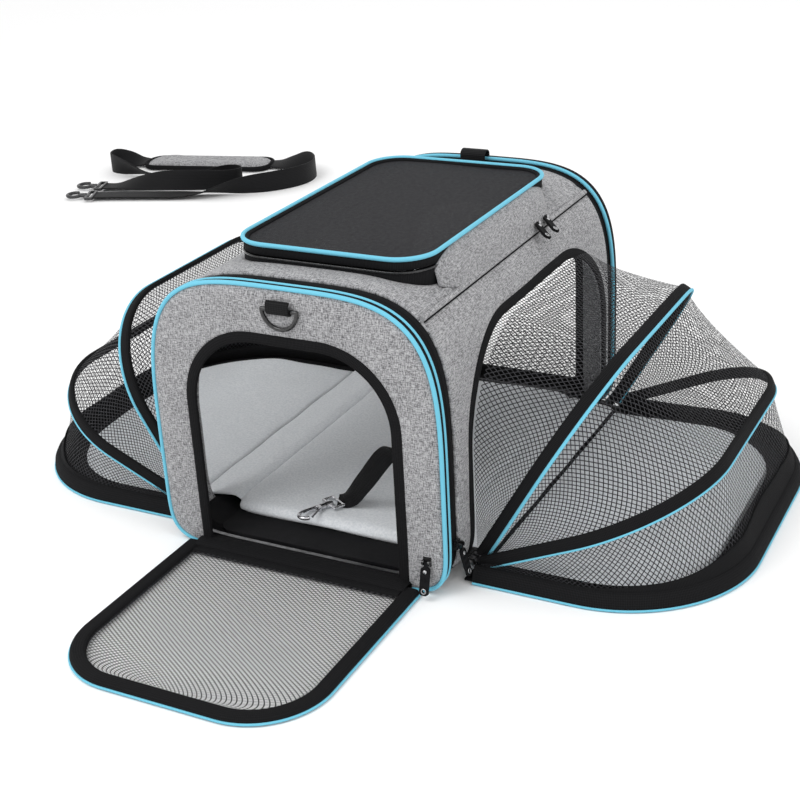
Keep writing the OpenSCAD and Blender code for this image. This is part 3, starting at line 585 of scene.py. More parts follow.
# Sizes read from the frame.
frontBox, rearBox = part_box("front_panel"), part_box("rear_panel")
halfWide, roofTop = frontBox[1].x, frontBox[1].z
frontY, rearY = frontBox[0].y, rearBox[1].y
panelThick = frontBox[1].y - frontY
sideBox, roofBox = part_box("right_side_panel"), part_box("top_panel")
shellFront, shellRear = sideBox[0].y, sideBox[1].y
seamZ, pivotZ = sideBox[1].z, sideBox[0].z
flapBox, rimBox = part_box("flap_band"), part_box("roof_rim")
bellyZ, roofPower, footPower = 0.100, 4.0, 8.0
doorway = {"half": 0.112, "foot": 0.005, "top": 0.234, "corner": 0.078}
sideHole = {"half": 0.176, "foot": pivotZ, "height": 0.204, "corner": 0.100, "middle": 0.010}


def wallX(z, depth=0.0):
    # half width of the wall at a height, from the superellipse of its upper or lower part
    z = np.asarray(z, float)
    above = np.clip((z - bellyZ) / (roofTop - bellyZ - depth), 0, 1)
    below = np.clip((bellyZ - z) / (bellyZ - depth), 0, 1)
    upper = np.clip(1 - above ** roofPower, 0, 1) ** (1 / roofPower)
    lower = np.clip(1 - below ** footPower, 0, 1) ** (1 / footPower)
    return (halfWide - depth) * np.where(z > bellyZ, upper, lower)


def roofZ(x, depth=0.0):
    # height of the roof over a place across it, from the same superellipse
    x = np.abs(np.asarray(x, float))
    share = np.clip(1 - (x / (halfWide - depth)) ** roofPower, 0, 1)
    return bellyZ + (roofTop - bellyZ - depth) * share ** (1 / roofPower)


def wallLoop(count=240, depth=0.0):
    # points of the wall outline in x and z at equal steps of length
    t = np.linspace(0, 2 * np.pi, 2881)[:-1]
    n = np.where(np.sin(t) >= 0, roofPower, footPower)
    rise = np.where(np.sin(t) >= 0, roofTop - bellyZ, bellyZ) - depth
    x = (halfWide - depth) * np.sign(np.cos(t)) * np.abs(np.cos(t)) ** (2 / n)
    z = bellyZ + rise * np.sign(np.sin(t)) * np.abs(np.sin(t)) ** (2 / n)
    return resample(np.stack([x, z], 1), count, True)


def wallNormal(loop):
    # outward normal of the outline, at right angles to its tangent
    t = tangents(np.column_stack([loop, np.zeros(len(loop))]), True)[:, :2]
    return np.stack([t[:, 1], -t[:, 0]], 1)


def archPath(half, top, corner, count=160, foot=0.0):
    # up one leg, round a quarter circle, along the top and down the other side, in u and v
    a = np.linspace(0, np.pi / 2, 25)
    right = np.stack([half - corner + corner * np.cos(a), top - corner + corner * np.sin(a)], 1)
    left = right[::-1] * (-1, 1)
    p = np.vstack([[half, foot], right, left, [-half, foot]])
    return resample(p, count)


def roundedLoop(x0, x1, y0, y1, r, count=200):
    # four quarter circles joined by straight sides
    a = np.linspace(0, np.pi / 2, 17)
    parts = []
    for k, (cx, cy) in enumerate([(x1 - r, y1 - r), (x0 + r, y1 - r), (x0 + r, y0 + r), (x1 - r, y0 + r)]):
        turn = a + k * np.pi / 2
        parts.append(np.stack([cx + r * np.cos(turn), cy + r * np.sin(turn)], 1))
    return resample(np.vstack(parts), count, True)


def soften(p, amount, seed=0.0):
    # slow waves of three directions, for cloth that isn't quite flat
    x, y, z = p[..., 0], p[..., 1], p[..., 2]
    return amount * (np.sin(38 * x + 23 * y + 31 * z + seed) + 0.7 * np.sin(61 * y - 44 * z + 2 * seed)
                     + 0.5 * np.sin(97 * x + 71 * z - 3 * seed)) / 2.2


print("sizes read")

# Shell: end panels, side panels, roof.
shell = {"endPuff": 0.0022, "sidePuff": 0.0018, "wave": 0.0007, "roofPuff": 0.0015, "thickness": 0.0035,
         "crease": 0.0022, "creaseX": 0.1125}


def swellShape(v, power):
    # 0 at both ends and 1 in the middle, flatter for a lower power
    return (4 * v * (1 - v)) ** power


def makeEndPanel(name, atY, outward):
    # ring between doorway and wall outline, along rays from a middle point, swelling between its edges
    rays = 320
    middle = np.array([0.0, 0.118])
    outer = wallLoop(2400, 0.0008) - middle
    half, foot = doorway["half"], doorway["foot"]
    arch = archPath(half, doorway["top"] - foot, doorway["corner"], 1500) + (0, foot)
    sill = np.stack([np.linspace(-half, half, 600), np.full(600, foot)], 1)
    arch = np.vstack([arch, sill]) - middle
    angle = np.linspace(0, 2 * np.pi, rays, endpoint=False)

    def reach(curve):
        # distance from the middle along each ray
        a = np.arctan2(curve[:, 1], curve[:, 0]) % (2 * np.pi)
        order = np.argsort(a)
        return np.interp(angle, a[order], np.linalg.norm(curve, axis=1)[order], period=2 * np.pi)

    v = np.linspace(0, 1, 15)[None]
    near, far = reach(arch)[:, None], reach(outer)[:, None]
    r = near * (1 - v) + far * v
    x = r * np.cos(angle)[:, None] + middle[0]
    z = r * np.sin(angle)[:, None] + middle[1]
    puff = shell["endPuff"] * swellShape(v, 0.6) * np.clip((far - near) / 0.02, 0, 1)
    grid = np.stack([x, np.zeros_like(x), z], -1)
    swell = puff + soften(grid, shell["wave"], 1.0 + atY) * swellShape(v, 0.5)
    grid[..., 1] = atY + outward * swell
    obj = addGrid(name, grid, cloth, np.stack([x, z], -1), True, False)
    faceTo(obj, (0, outward, 0))
    addSolidify(obj, panelThick - 0.002)
    return obj


frontPanel = makeEndPanel("frontPanelCloth", frontY, -1)
rearPanel = makeEndPanel("rearPanelCloth", rearY, 1)
for panel, node in ((frontPanel, "front_panel"), (rearPanel, "rear_panel")):
    settle(panel, "carrier", "heather", node)


def wallNormalAt(z):
    # outward normal of the wall in x and z at a height
    slope = (wallX(z + 1e-4) - wallX(z - 1e-4)) / 2e-4
    return np.stack([1 / np.sqrt(1 + slope ** 2), -slope / np.sqrt(1 + slope ** 2)], -1)


def makeSidePanel(name, side, node):
    # strip from the arch of the opening to the panel's straight edges, laid on the wall's outline
    foot = sideHole["foot"]
    inner = archPath(sideHole["half"], sideHole["height"], sideHole["corner"], 400) + (0, foot)
    inner[:, 0] += sideHole["middle"]
    edge = np.array([[shellRear, foot], [shellRear, seamZ], [shellFront, seamZ], [shellFront, foot]])
    cut = np.array([0.0, 0.27, 0.73, 1.0])
    u = np.unique(np.concatenate([np.linspace(cut[k], cut[k + 1], n) for k, n in enumerate((44, 70, 44))]))
    s = np.linspace(0, 1, 400)
    inside = np.stack([np.interp(u, s, inner[:, 0]), np.interp(u, s, inner[:, 1])], 1)
    outside = np.stack([np.interp(u, cut, edge[:, 0]), np.interp(u, cut, edge[:, 1])], 1)
    v = np.linspace(0, 1, 14)[None, :, None]
    flat = inside[:, None] * (1 - v) + outside[:, None] * v
    y, z = flat[..., 0], flat[..., 1]
    x = wallX(z)
    normal = wallNormalAt(z)
    v = v[..., 0]
    swell = shell["sidePuff"] * swellShape(v, 0.6)
    swell = swell + soften(np.stack([x, y, z], -1), shell["wave"], 2.0 + side) * swellShape(v, 0.5)
    grid = np.stack([side * (x + normal[..., 0] * swell), y, z + normal[..., 1] * swell], -1)
    obj = addGrid(name, grid, cloth, np.stack([y, z], -1))
    faceTo(obj, (side, 0, 0))
    addSolidify(obj, shell["thickness"])
    settle(obj, "carrier", "heather", node)


makeSidePanel("rightPanelCloth", 1, "right_side_panel")
makeSidePanel("leftPanelCloth", -1, "left_side_panel")


def makeRoofPanel():
    # ring between the flap's outline and the panel's edge, lifted onto the roof's outline
    x0, x1, y0, y1 = rimBox[0].x, rimBox[1].x, rimBox[0].y, rimBox[1].y
    r = 0.036
    edgeX = roofBox[1].x
    n = 60
    quarter = np.linspace(0, np.pi / 2, 13)
    corners = [(x1 - r, y1 - r, edgeX, shellRear), (x0 + r, y1 - r, -edgeX, shellRear),
               (x0 + r, y0 + r, -edgeX, shellFront), (x1 - r, y0 + r, edgeX, shellFront)]
    arcs = [np.stack([cx + r * np.cos(quarter + k * np.pi / 2), cy + r * np.sin(quarter + k * np.pi / 2)], 1)
            for k, (cx, cy, _, _) in enumerate(corners)]
    inner, outer = [], []
    for k, (_, _, ex, ey) in enumerate(corners):
        following = (k + 1) % 4
        run = np.vstack([arcs[k][6:], arcs[following][:7]])
        inner.append(resample(run, n + 1)[:-1])
        outer.append(resample(np.array([[ex, ey], corners[following][2:]]), n + 1)[:-1])
    inner, outer = np.vstack(inner), np.vstack(outer)
    v = np.linspace(0, 1, 13)[None, :, None]
    flat = inner[:, None] * (1 - v) + outer[:, None] * v
    x, y = flat[..., 0], flat[..., 1]
    v = v[..., 0]
    lift = shell["roofPuff"] * swellShape(v, 0.6)
    lift = lift + soften(np.stack([x, y, x * 0], -1), shell["wave"], 4.0) * swellShape(v, 0.5)
    nearCrease = np.exp(-((x - shell["creaseX"]) / 0.0018) ** 2) * np.exp(-((v - 0.6) / 0.5) ** 4)
    grid = np.stack([x, y, roofZ(x) + lift - shell["crease"] * nearCrease], -1)
    obj = addGrid("roofPanelCloth", grid, cloth, np.stack([x, y], -1), True, False)
    faceTo(obj, (0, 0, 1))
    addSolidify(obj, shell["thickness"])
    settle(obj, "carrier", "heather", "top_panel")


makeRoofPanel()
print("shell panels made")

# Zip bands, pipings and seams of the shell.
trim = {"pipingRadius": 0.0021, "bindingThick": 0.0032, "edgeTapeLowest": 0.0018}
loop = wallLoop(260)
normal = wallNormal(loop)


def onWall(points, y):
    # points of the outline in x and z, all at one y
    return np.column_stack([points[:, 0], np.full(len(points), y), points[:, 1]])


def ringPath(y, depth, lowest=0.0):
    # the wall outline at one place along the carrier, moved in or out along its normal and never under lowest
    path = onWall(loop - normal * depth, y)
    path[:, 2] = np.maximum(path[:, 2], lowest)
    return path


outward3 = np.column_stack([normal[:, 0], np.zeros(len(normal)), normal[:, 1]])


def zipBandProfile(width):
    # two tapes with a shallow trough between them and a bead of teeth in the trough
    halfX = [-0.5, -0.46, -0.25, -0.16, -0.11, -0.10, -0.06]
    halfY = [-0.0012, 0.0, 0.0004, 0.0002, -0.0012, -0.0012, -0.0001]
    x = np.array(halfX + [0.0] + [-value for value in halfX[::-1]]) * width
    y = np.array(halfY + [0.0006] + halfY[::-1])
    underX = x[-2:0:-3]
    under = np.stack([underX, np.full(len(underX), -0.0036)], 1)
    return np.vstack([np.stack([x, y], 1), under])


for name, y0, y1 in (("frontZipBand", frontY + panelThick, shellFront),
                     ("rearZipBand", shellRear, rearY - panelThick)):
    profile = zipBandProfile(y1 - y0)
    band = carry(name, ringPath((y0 + y1) / 2, 0.0012), (0, 1, 0), outward3, profile, True, tape)
    settle(band, "carrier", "black_tape")
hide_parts("zip_bands")
for name, y, stand in (("frontEdgePiping", frontY + 0.0006, 0.0012),
                       ("frontBandPiping", frontY + 0.0090, 0.0010),
                       ("rearBandPiping", rearY - 0.0110, 0.0012)):
    path = ringPath(y, -stand, trim["pipingRadius"])
    settle(tube(name, path, trim["pipingRadius"], pipingCloth, True), "carrier", "black_tape")
for name, y, w in (("frontEdgeTape", frontY + 0.0048, 0.0078), ("rearEdgeTape", rearY - 0.0046, 0.0095)):
    path = ringPath(y, -0.0006, trim["edgeTapeLowest"])
    profile = barProfile(w, 0.0024, crown=0.0004)
    settle(carry(name, path, (0, 1, 0), outward3, profile, True, tape), "carrier", "black_tape")


def makeDoorBinding(name, atY, outward):
    # a folded tape carried round the doorway's arch
    inset = 0.0035
    top = doorway["top"] - doorway["foot"]
    p = archPath(doorway["half"] - inset, top - inset, doorway["corner"] - inset, 200)
    path = np.column_stack([p[:, 0], np.full(len(p), atY), p[:, 1] + doorway["foot"]])
    t = tangents(path, False)
    out = np.array([0.0, outward, 0.0])
    profile = barProfile(0.011, trim["bindingThick"], crown=0.0006)
    return carry(name, path, np.cross(out, t), out, profile, False, tape)


for name, s in (("frontSillTape", -1), ("rearSillTape", 1)):
    x = np.linspace(-doorway["half"] - 0.004, doorway["half"] + 0.004, 40)
    path = np.column_stack([x, np.full(40, s * (rearY - 0.0032)), np.full(40, doorway["foot"] + 0.0002)])
    profile = barProfile(0.0105, 0.0070, 0.0024)
    settle(carry(name, path, (0, 1, 0), (0, 0, 1), profile, False, tape), "carrier", "black_tape")
for name, y, s in (("frontDoorwayBinding", frontY, -1.0), ("rearDoorwayBinding", rearY, 1.0)):
    binding = makeDoorBinding(name, y, s)
    settle(binding, "carrier", "black_tape")
    if s < 0:
        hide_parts("door_bindings")


def makeSideBinding(name, side):
    # a tape laid on the wall round the side opening
    grow = 0.004
    p = archPath(sideHole["half"] + grow, sideHole["height"] + grow, sideHole["corner"] + grow, 200)
    y, z = p[:, 0] + sideHole["middle"], p[:, 1] + sideHole["foot"]
    n2 = wallNormalAt(z)
    n3 = np.column_stack([side * n2[:, 0], np.zeros(len(z)), n2[:, 1]])
    path = np.column_stack([side * wallX(z), y, z]) + n3 * 0.0006
    profile = barProfile(0.0105, 0.0028, crown=0.0003)
    return carry(name, path, np.cross(n3, tangents(path, False)), n3, profile, False, tape)


for name, side in (("rightSideBinding", 1), ("leftSideBinding", -1)):
    binding = makeSideBinding(name, side)
    settle(binding, "carrier", "black_tape")
    if side > 0:
        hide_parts("side_bindings")
for name, side in (("rightRoofSeam", 1), ("leftRoofSeam", -1)):
    y = np.linspace(shellFront + 0.001, shellRear - 0.001, 60)
    n2 = wallNormalAt(np.array([seamZ]))[0]
    out = np.array([side * n2[0], 0, n2[1]])
    down = np.array([side * n2[1], 0, -n2[0]])
    path = np.column_stack([np.full(60, side * wallX(seamZ)), y, np.full(60, seamZ)]) + out * 0.0004
    profile = barProfile(0.0052, 0.0024, crown=0.0005)
    settle(carry(name, path + out * 0.0012, -down, out, profile, False, cloth), "carrier", "heather")
    # painted shade: a thin black tube just below the welt stands for the dark groove of the seam, not a
    # thread
    thread = path + down * 0.0034 + out * 0.0010
    settle(tube(name + "Thread", thread, 0.0007, tape, False, 6), "carrier", "black_tape")
print("trim made")

# Side tents.
tent = {  # a hoop is its half width, reach, corner and lean in degrees
    "pivotX": 0.156, "pivotZ": 0.014, "middle": 0.010, "foot": 0.007,
    "tapeWide": 0.0128, "tapeShift": 0.0030, "tapeThick": 0.0052,
    "sag": 0.008, "lowSag": 0.004, "ripple": 0.0022, "piping": 0.0017, "finePiping": 0.0011,
    "wall": (0.1815, 0.2095, 0.1055, 0.0), "inner": (0.184, 0.212, 0.108, 30.0),
    "outer": (0.1925, 0.2215, 0.1165, 66.0), "floor": (0.201, 0.231, 0.125, 90.0),
}


def hoopPoints(side, hoop, count, foot):
    # arch drawn in the plane that leans out by the hoop's angle
    half, reach, corner, lean = hoop
    p = archPath(half, reach, corner, count, foot)
    a = math.radians(lean)
    out = np.array([side * math.sin(a), 0, math.cos(a)])
    normal = np.array([side * math.cos(a), 0, -math.sin(a)])
    base = np.array([side * tent["pivotX"], tent["middle"], tent["pivotZ"]])
    points = base + np.outer(p[:, 0], (0, 1, 0)) + np.outer(p[:, 1], out)
    return points, normal, out


def hoopFrame(side, hoop, count):
    # the path with its plane's normal and the direction away from the middle of the arch
    points, normal, out = hoopPoints(side, hoop, count, tent["foot"])
    up = np.cross(normal, tangents(points, False))
    if up[count // 2] @ out < 0:
        up = -up
    return points, np.broadcast_to(normal, points.shape), up


def bendBetween(obj):
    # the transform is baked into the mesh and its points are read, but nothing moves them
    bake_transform(obj)
    co = np.zeros(len(obj.data.vertices) * 3)
    obj.data.vertices.foreach_get("co", co)


def goreGrid(side, hoopA, hoopB, sag, rows=110, cols=14, s0=0.0, s1=1.0, proud=0.0):
    # straight cloth between two hoops that sags a little inward and ripples more near its feet
    # s0 and s1 are the shares of the way across where it starts and ends, and proud lifts it outward
    a = hoopPoints(side, hoopA, rows, 0.010)[0]
    b = hoopPoints(side, hoopB, rows, 0.010)[0]
    u = np.linspace(0, 1, rows)[:, None]
    v = s0 + (s1 - s0) * np.linspace(0, 1, cols)[None, :]
    flat = a[:, None] * (1 - v[..., None]) + b[:, None] * v[..., None]
    middle = (a.mean(0) + b.mean(0)) / 2 + np.array([-side * 0.03, 0, -0.03])
    inward = unit(middle - flat)
    bow = sag * 4 * v * (1 - v) * (0.35 + 0.65 * np.sin(np.pi * u))
    nearFeet = 0.4 + np.exp(-((u - 0.22) / 0.12) ** 2) + np.exp(-((u - 0.78) / 0.12) ** 2)
    ripple = tent["ripple"] * np.sin(np.pi * v) * np.sin(44 * u + 3.1 * v + side) * nearFeet
    return flat + inward * (bow + ripple - proud)[..., None]


def clothUv(grid):
    # lengths along the middle row and the middle column, in metres
    r = lengthAlong(grid[:, grid.shape[1] // 2])
    c = lengthAlong(grid[grid.shape[0] // 2])
    return np.stack(np.meshgrid(r, c, indexing="ij"), -1)


def makeGores(word, side):
    # three nets, from the wall to the inner hoop, to the outer hoop and to the floor
    inner, outer, floor = word + "_inner_hoop", word + "_outer_hoop", word + "_floor"
    spans = [("carrier", inner, tent["wall"], tent["inner"], tent["sag"]),
             (inner, outer, tent["inner"], tent["outer"], tent["sag"]),
             (outer, floor, tent["outer"], tent["floor"], tent["lowSag"])]
    for k, (bodyA, bodyB, hoopA, hoopB, sag) in enumerate(spans):
        grid = goreGrid(side, hoopA, hoopB, sag)
        obj = addGrid(f"{word}Gore{k + 1}", grid, sideNet, clothUv(grid))
        faceTo(obj, (side * 0.6, 0, 1))
        bendBetween(obj)
        if k == 0:
            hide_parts(word + "_gores")


def makeHemBand(word, side):
    # cloth on the foot of the lowest net, deepest in the middle of the arch
    rows = 110
    u = np.linspace(0, 1, rows)[:, None]
    deep = 0.07 + 0.17 * np.clip(np.sin(np.pi * u), 0, 1) ** 3
    hem = goreGrid(side, tent["outer"], tent["floor"], tent["lowSag"], rows, 6, 1 - deep, 1.0, 0.0012)
    obj = addGrid(word + "HemBand", hem, tape, clothUv(hem))
    faceTo(obj, (side * 0.6, 0, 1))
    addSolidify(obj, 0.0012, 1.0)
    bendBetween(obj)


def makeHoopTape(word, side, label, radius):
    # a wide tape carried along the hoop, with piping on its outer edge
    hoop = label.lower()
    body = f"{word}_{hoop}_hoop"
    path, across, up = hoopFrame(side, tent[hoop], 170)
    path = path + across * tent["tapeShift"]
    profile = barProfile(tent["tapeWide"], tent["tapeThick"], crown=0.0004)
    obj = carry(f"{word}{label}Tape", path, across, up, profile, False, tape)
    settle(obj, body, "black_tape", f"{word}_{hoop}_sleeve")
    edge = path + across * (tent["tapeWide"] / 2 - 0.0004) + up * (tent["tapeThick"] / 2 - 0.0004)
    settle(tube(f"{word}{label}Piping", edge, radius, pipingCloth), body, "black_tape")


def makeFloorRim(word, side):
    # a padded rim carried round the floor's arch, with piping at its foot, and the cloth it holds
    floor = word + "_floor"
    half, reach, corner, _ = tent["floor"]
    p = archPath(half, reach, corner, 190, tent["foot"])
    path = np.column_stack([side * (tent["pivotX"] + p[:, 1]), tent["middle"] + p[:, 0], np.zeros(len(p))])
    up = np.array([0.0, 0.0, 1.0])
    out = np.cross(tangents(path, False), up)
    if (out[len(p) // 2] * side)[0] < 0:
        out = -out
    profile = np.array([[-0.0042, 0.0035], [-0.0044, 0.0110], [-0.0036, 0.0150], [-0.0010, 0.0169],
                        [0.0022, 0.0167], [0.0050, 0.0145], [0.0076, 0.0096], [0.0084, 0.0045],
                        [0.0080, 0.0012], [0.0060, 0.0002], [-0.0020, 0.0002]])
    rim = carry(word + "FloorRim", path, out, up, profile, False, tape)
    settle(rim, floor, "black_tape", floor + "_panel")
    edge = path + out * 0.0082 + up * 0.0016
    settle(tube(word + "FloorPiping", edge, 0.0012, pipingCloth), floor, "black_tape")
    rows, cols, grow = 44, 52, 0.004
    outline = archPath(half + grow, reach + grow, corner + grow, 2 * rows)[:rows]
    v = np.linspace(-1, 1, cols)
    x = side * (tent["pivotX"] - 0.003 + outline[:, 1:] * np.ones(cols))
    y = tent["middle"] + outline[:, :1] * v
    top = np.stack([x, y, np.full(x.shape, 0.0022)], -1)
    obj = addGrid(word + "FloorCloth", top, lining, clothUv(top))
    faceTo(obj, (0, 0, 1))
    addSolidify(obj, 0.0018)
    settle(obj, floor, "black_tape")


for word, side in (("right", 1), ("left", -1)):
    makeGores(word, side)
    makeHemBand(word, side)
    makeHoopTape(word, side, "Inner", tent["piping"])
    makeHoopTape(word, side, "Outer", tent["finePiping"])
    makeFloorRim(word, side)
print("tents made")

# Mats.
mats = {"sideThick": 0.0085, "mainThick": 0.0125, "topHeld": 0.0210,
        "voxel": 0.0055, "pressure": 3.0, "cap": 0.005}


def archSlab(half, reach, corner, foot, z0, thick, side, rows=40, cols=60, closing=0.35):
    # rows across the arch of a tent's floor, thick in the middle and closing at the rim
    outline = archPath(half, reach, corner, 2 * rows, foot)[:rows]
    v = np.linspace(-1, 1, cols)
    u = np.linspace(0, 1, rows)[:, None]
    x = outline[:, 1][:, None] * np.ones(cols)
    y = outline[:, 0][:, None] * v
    rim = (1 - np.abs(v[None]) ** 10) ** closing * (1 - np.abs(2 * u - 1) ** 12) ** closing
    x, y = side * (tent["pivotX"] + x), tent["middle"] + y
    top = np.stack([x, y, z0 + thick * (0.3 + 0.7 * rim)], -1)
    low = np.stack([x, y, z0 + thick * 0.3 * (1 - rim)], -1)
    return top, low


def closedSlab(name, top, low, material):
    # the two skins share their rim, so each row is one closed loop
    loopGrid = np.concatenate([top, low[:, ::-1]], 1)
    rows, k = loopGrid.shape[:2]
    obj = addMesh(name, loopGrid.reshape(-1, 3), gridFaces(rows, k, False, True), material,
                  None, [list(range(k)), list(range((rows - 1) * k, rows * k))[::-1]])
    fixNormals(obj)
    return obj


def puffUp(obj, voxel, pressure, cap, low, high):
    # the slab is remeshed and blown up as unpinned cloth with no gravity
    # then each point's move is capped, and its height is held between low and high
    bpy.context.view_layer.objects.active = obj
    m = obj.modifiers.new("remesh", "REMESH")
    m.mode, m.voxel_size, m.use_smooth_shade = "VOXEL", voxel, True
    dg = bpy.context.evaluated_depsgraph_get()
    mesh = bpy.data.meshes.new_from_object(obj.evaluated_get(dg))
    obj.modifiers.clear()
    material = obj.data.materials[0]
    obj.data = mesh
    if not mesh.materials:
        mesh.materials.append(material)
    before = np.zeros(len(mesh.vertices) * 3)
    mesh.vertices.foreach_get("co", before)
    c = obj.modifiers.new("cloth", "CLOTH")
    c.settings.use_pressure = True
    c.settings.uniform_pressure_force = pressure
    c.settings.effector_weights.gravity = 0
    c.settings.quality = 4
    c.point_cache.frame_start, c.point_cache.frame_end = 1, 20
    for f in range(1, 21):
        scene.frame_set(f)
    dg = bpy.context.evaluated_depsgraph_get()
    after = np.zeros(len(mesh.vertices) * 3)
    obj.evaluated_get(dg).data.vertices.foreach_get("co", after)
    obj.modifiers.clear()
    scene.frame_set(1)
    move = (after - before).reshape(-1, 3)
    size = np.linalg.norm(move, axis=1, keepdims=True)
    co = before.reshape(-1, 3) + move * np.minimum(1, cap / np.maximum(size, 1e-9))
    co[:, 2] = np.clip(co[:, 2], low, high)
    mesh.vertices.foreach_set("co", co.ravel())
    mesh.update()
    s = obj.modifiers.new("smooth", "SUBSURF")
    s.levels = s.render_levels = 1


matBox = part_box("main_mat")
for word, side in (("right", 1), ("left", -1)):
    top, low = archSlab(sideHole["half"], sideHole["height"], sideHole["corner"], 0.010, 0.0045,
                        mats["sideThick"], side)
    obj = closedSlab(word + "FleeceMat", top, low, fleece)
    co = np.array([list(v.co) for v in obj.data.vertices])
    wave = soften(co, 0.0016, 5.0 * side)
    co[:, 2] = np.maximum(co[:, 2] + wave * (co[:, 2] > 0.008), 0.0042)
    obj.data.vertices.foreach_set("co", co.ravel())
    obj.data.polygons.foreach_set("use_smooth", [True] * len(obj.data.polygons))
    settle(obj, word + "_floor", "fleece", word + "_floor_mat")
for word, side in (("right", 1), ("left", -1)):
    u = np.linspace(sideHole["middle"] - 0.172, sideHole["middle"] + 0.172, 90)[:, None]
    u = np.maximum(u, matBox[0].y - 0.002)
    across = np.array([[0.1080, 0.114, 0.119, 0.124, 0.130, 0.138, 0.146, 0.152, 0.158, 0.1625, 0.1650]])
    height = [0.0150, 0.0190, 0.0206, 0.0205, 0.0196, 0.0182, 0.0170, 0.0165, 0.0157, 0.0142, 0.0125]
    z = height + 0.0005 * np.sin(70 * u + 90 * across)
    strip = np.stack([side * across + 0 * u, u + 0 * across, z], -1)
    sill = addGrid(word + "SillFleece", strip, fleece, clothUv(strip))
    faceTo(sill, (0, 0, 1))
    addSolidify(sill, 0.0016)
    settle(sill, "carrier", "fleece")
rows, cols = 70, 50
u = np.linspace(-1, 1, rows)[:, None]
v = np.linspace(-1, 1, cols)[None, :]
sizeX, sizeY = (matBox[1].x - matBox[0].x) / 2 - 0.002, (matBox[1].y - matBox[0].y) / 2 - 0.002
midY = (matBox[0].y + matBox[1].y) / 2
squeeze = 1 - 0.045 * np.abs(u) ** 8
x = sizeX * v * squeeze
y = midY + sizeY * u * (1 - 0.02 * np.abs(v) ** 10)
rim = (1 - np.abs(u) ** 16) ** 0.4 * (1 - np.abs(v) ** 12) ** 0.4
zTop = matBox[0].z + mats["mainThick"] * (0.35 + 0.60 * rim)
zLow = matBox[0].z + mats["mainThick"] * 0.3 * (1 - rim)
y = y + 0 * x
obj = closedSlab("cabinFleeceMat", np.stack([x, y, zTop], -1), np.stack([x, y, zLow], -1), fleece)
puffUp(obj, mats["voxel"], mats["pressure"], mats["cap"], None, mats["topHeld"])
settle(obj, "carrier", "fleece", "main_mat")
print("mats made")

# Doors.
door = {"half": 0.127, "reach": 0.2335, "corner": 0.070, "border": 0.015, "thick": 0.0062, "hingeY": 0.235,
        "hingeZ": 0.004, "netSag": 0.0016, "foot": 0.0015}


def doorPoints(p, lift, closed):
    # p is across and along the door; an open one lies out from the front, a closed one stands at the rear
    y = door["hingeY"]
    if closed:
        return np.stack([p[..., 0], y + lift, door["hingeZ"] + p[..., 1]], -1)
    return np.stack([p[..., 0], -y - p[..., 1], door["hingeZ"] + lift], -1)


def makeDoorBorder(word, body, closed, face, along):
    # a tape carried round the door's arch, one across its foot, and piping on its edge
    w, half = door["border"], door["half"]
    p = archPath(half - w / 2, door["reach"] - w / 2, door["corner"] - w / 2, 200, door["foot"])
    path = doorPoints(p, np.zeros(len(p)), closed)
    across = np.cross(tangents(path, False), face)
    if across[len(p) // 2] @ along < 0:
        across = -across
    profile = barProfile(w, door["thick"], crown=0.0005)
    border = carry(word + "DoorBorder", path, across, face, profile, False, tape)
    settle(border, body, "black_tape", body + "_border")
    q = np.stack([np.linspace(w - half, half - w, 40), np.full(40, door["foot"] + w / 2)], 1)
    foot = doorPoints(q, np.zeros(40), closed)
    profile = barProfile(w, door["thick"] - 0.001)
    settle(carry(word + "DoorFoot", foot, along, face, profile, False, tape), body, "black_tape")
    edge = path + across * (w / 2 + 0.0002) + face * (0.0020 if closed else -0.0020)
    settle(tube(word + "DoorPiping", edge, 0.0012, pipingCloth), body, "black_tape")


def makeDoorNet(word, body, closed, face):
    # rows across the door's arch, hollowed a little by their own weight
    w, foot = door["border"], door["foot"] + door["border"] * 0.8
    rows, cols = 60, 44
    outline = archPath(door["half"] - w, door["reach"] - w, door["corner"] - w, 2 * rows, foot)
    line = outline[:rows]
    v = np.linspace(-1, 1, cols)[None, :]
    q = np.stack([line[:, :1] * v, line[:, 1:] * np.ones((1, cols))], -1)
    u = np.linspace(0, 1, rows)[:, None]
    lift = 0.0005 * np.sin(60 * q[..., 0]) * np.sin(50 * q[..., 1])
    lift = lift - door["netSag"] * (1 - v ** 2) * np.sin(np.pi * u)
    grid = doorPoints(q, lift + 0.0006, closed)
    net = addGrid(word + "DoorNet", grid, doorNet, clothUv(grid))
    faceTo(net, face)
    settle(net, body, "mesh", body + "_mesh")


def makeDoorHinge(word, closed):
    # a strip bent along a quadratic curve from the wall to the door
    back = 1 if closed else -1
    x = np.linspace(0.012 - door["half"], door["half"] - 0.012, 30)
    turn = np.linspace(0, 1, 14)[:, None]
    wallEdge = np.array([0, back * (door["hingeY"] - 0.0110), 0.0068])
    doorEdge = doorPoints(np.array([0, 0.009]), 0.0 if closed else 0.0024, closed)
    over = np.array([0, back * (door["hingeY"] - 0.0010), 0.0030 if closed else 0.0115])
    bend = wallEdge * (1 - turn) ** 2 + over * 2 * turn * (1 - turn) + doorEdge * turn ** 2
    strip = bend[None] + np.array([[1.0, 0, 0]])[:, None] * x[:, None, None]
    hinge = addGrid(word + "DoorHingeCloth", strip, tape, clothUv(strip))
    faceTo(hinge, (0, back, 1))
    addSolidify(hinge, 0.0014, 0.0)
    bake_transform(hinge)


for word, closed in (("front", False), ("rear", True)):
    face = np.array([0.0, 1.0, 0.0]) if closed else np.array([0.0, 0.0, 1.0])
    along = doorPoints(np.array([0, 1.0]), 0, closed) - doorPoints(np.array([0, 0.0]), 0, closed)
    makeDoorBorder(word, word + "_door", closed, face, along)
    makeDoorNet(word, word + "_door", closed, face)
    makeDoorHinge(word, closed)
print("doors made")

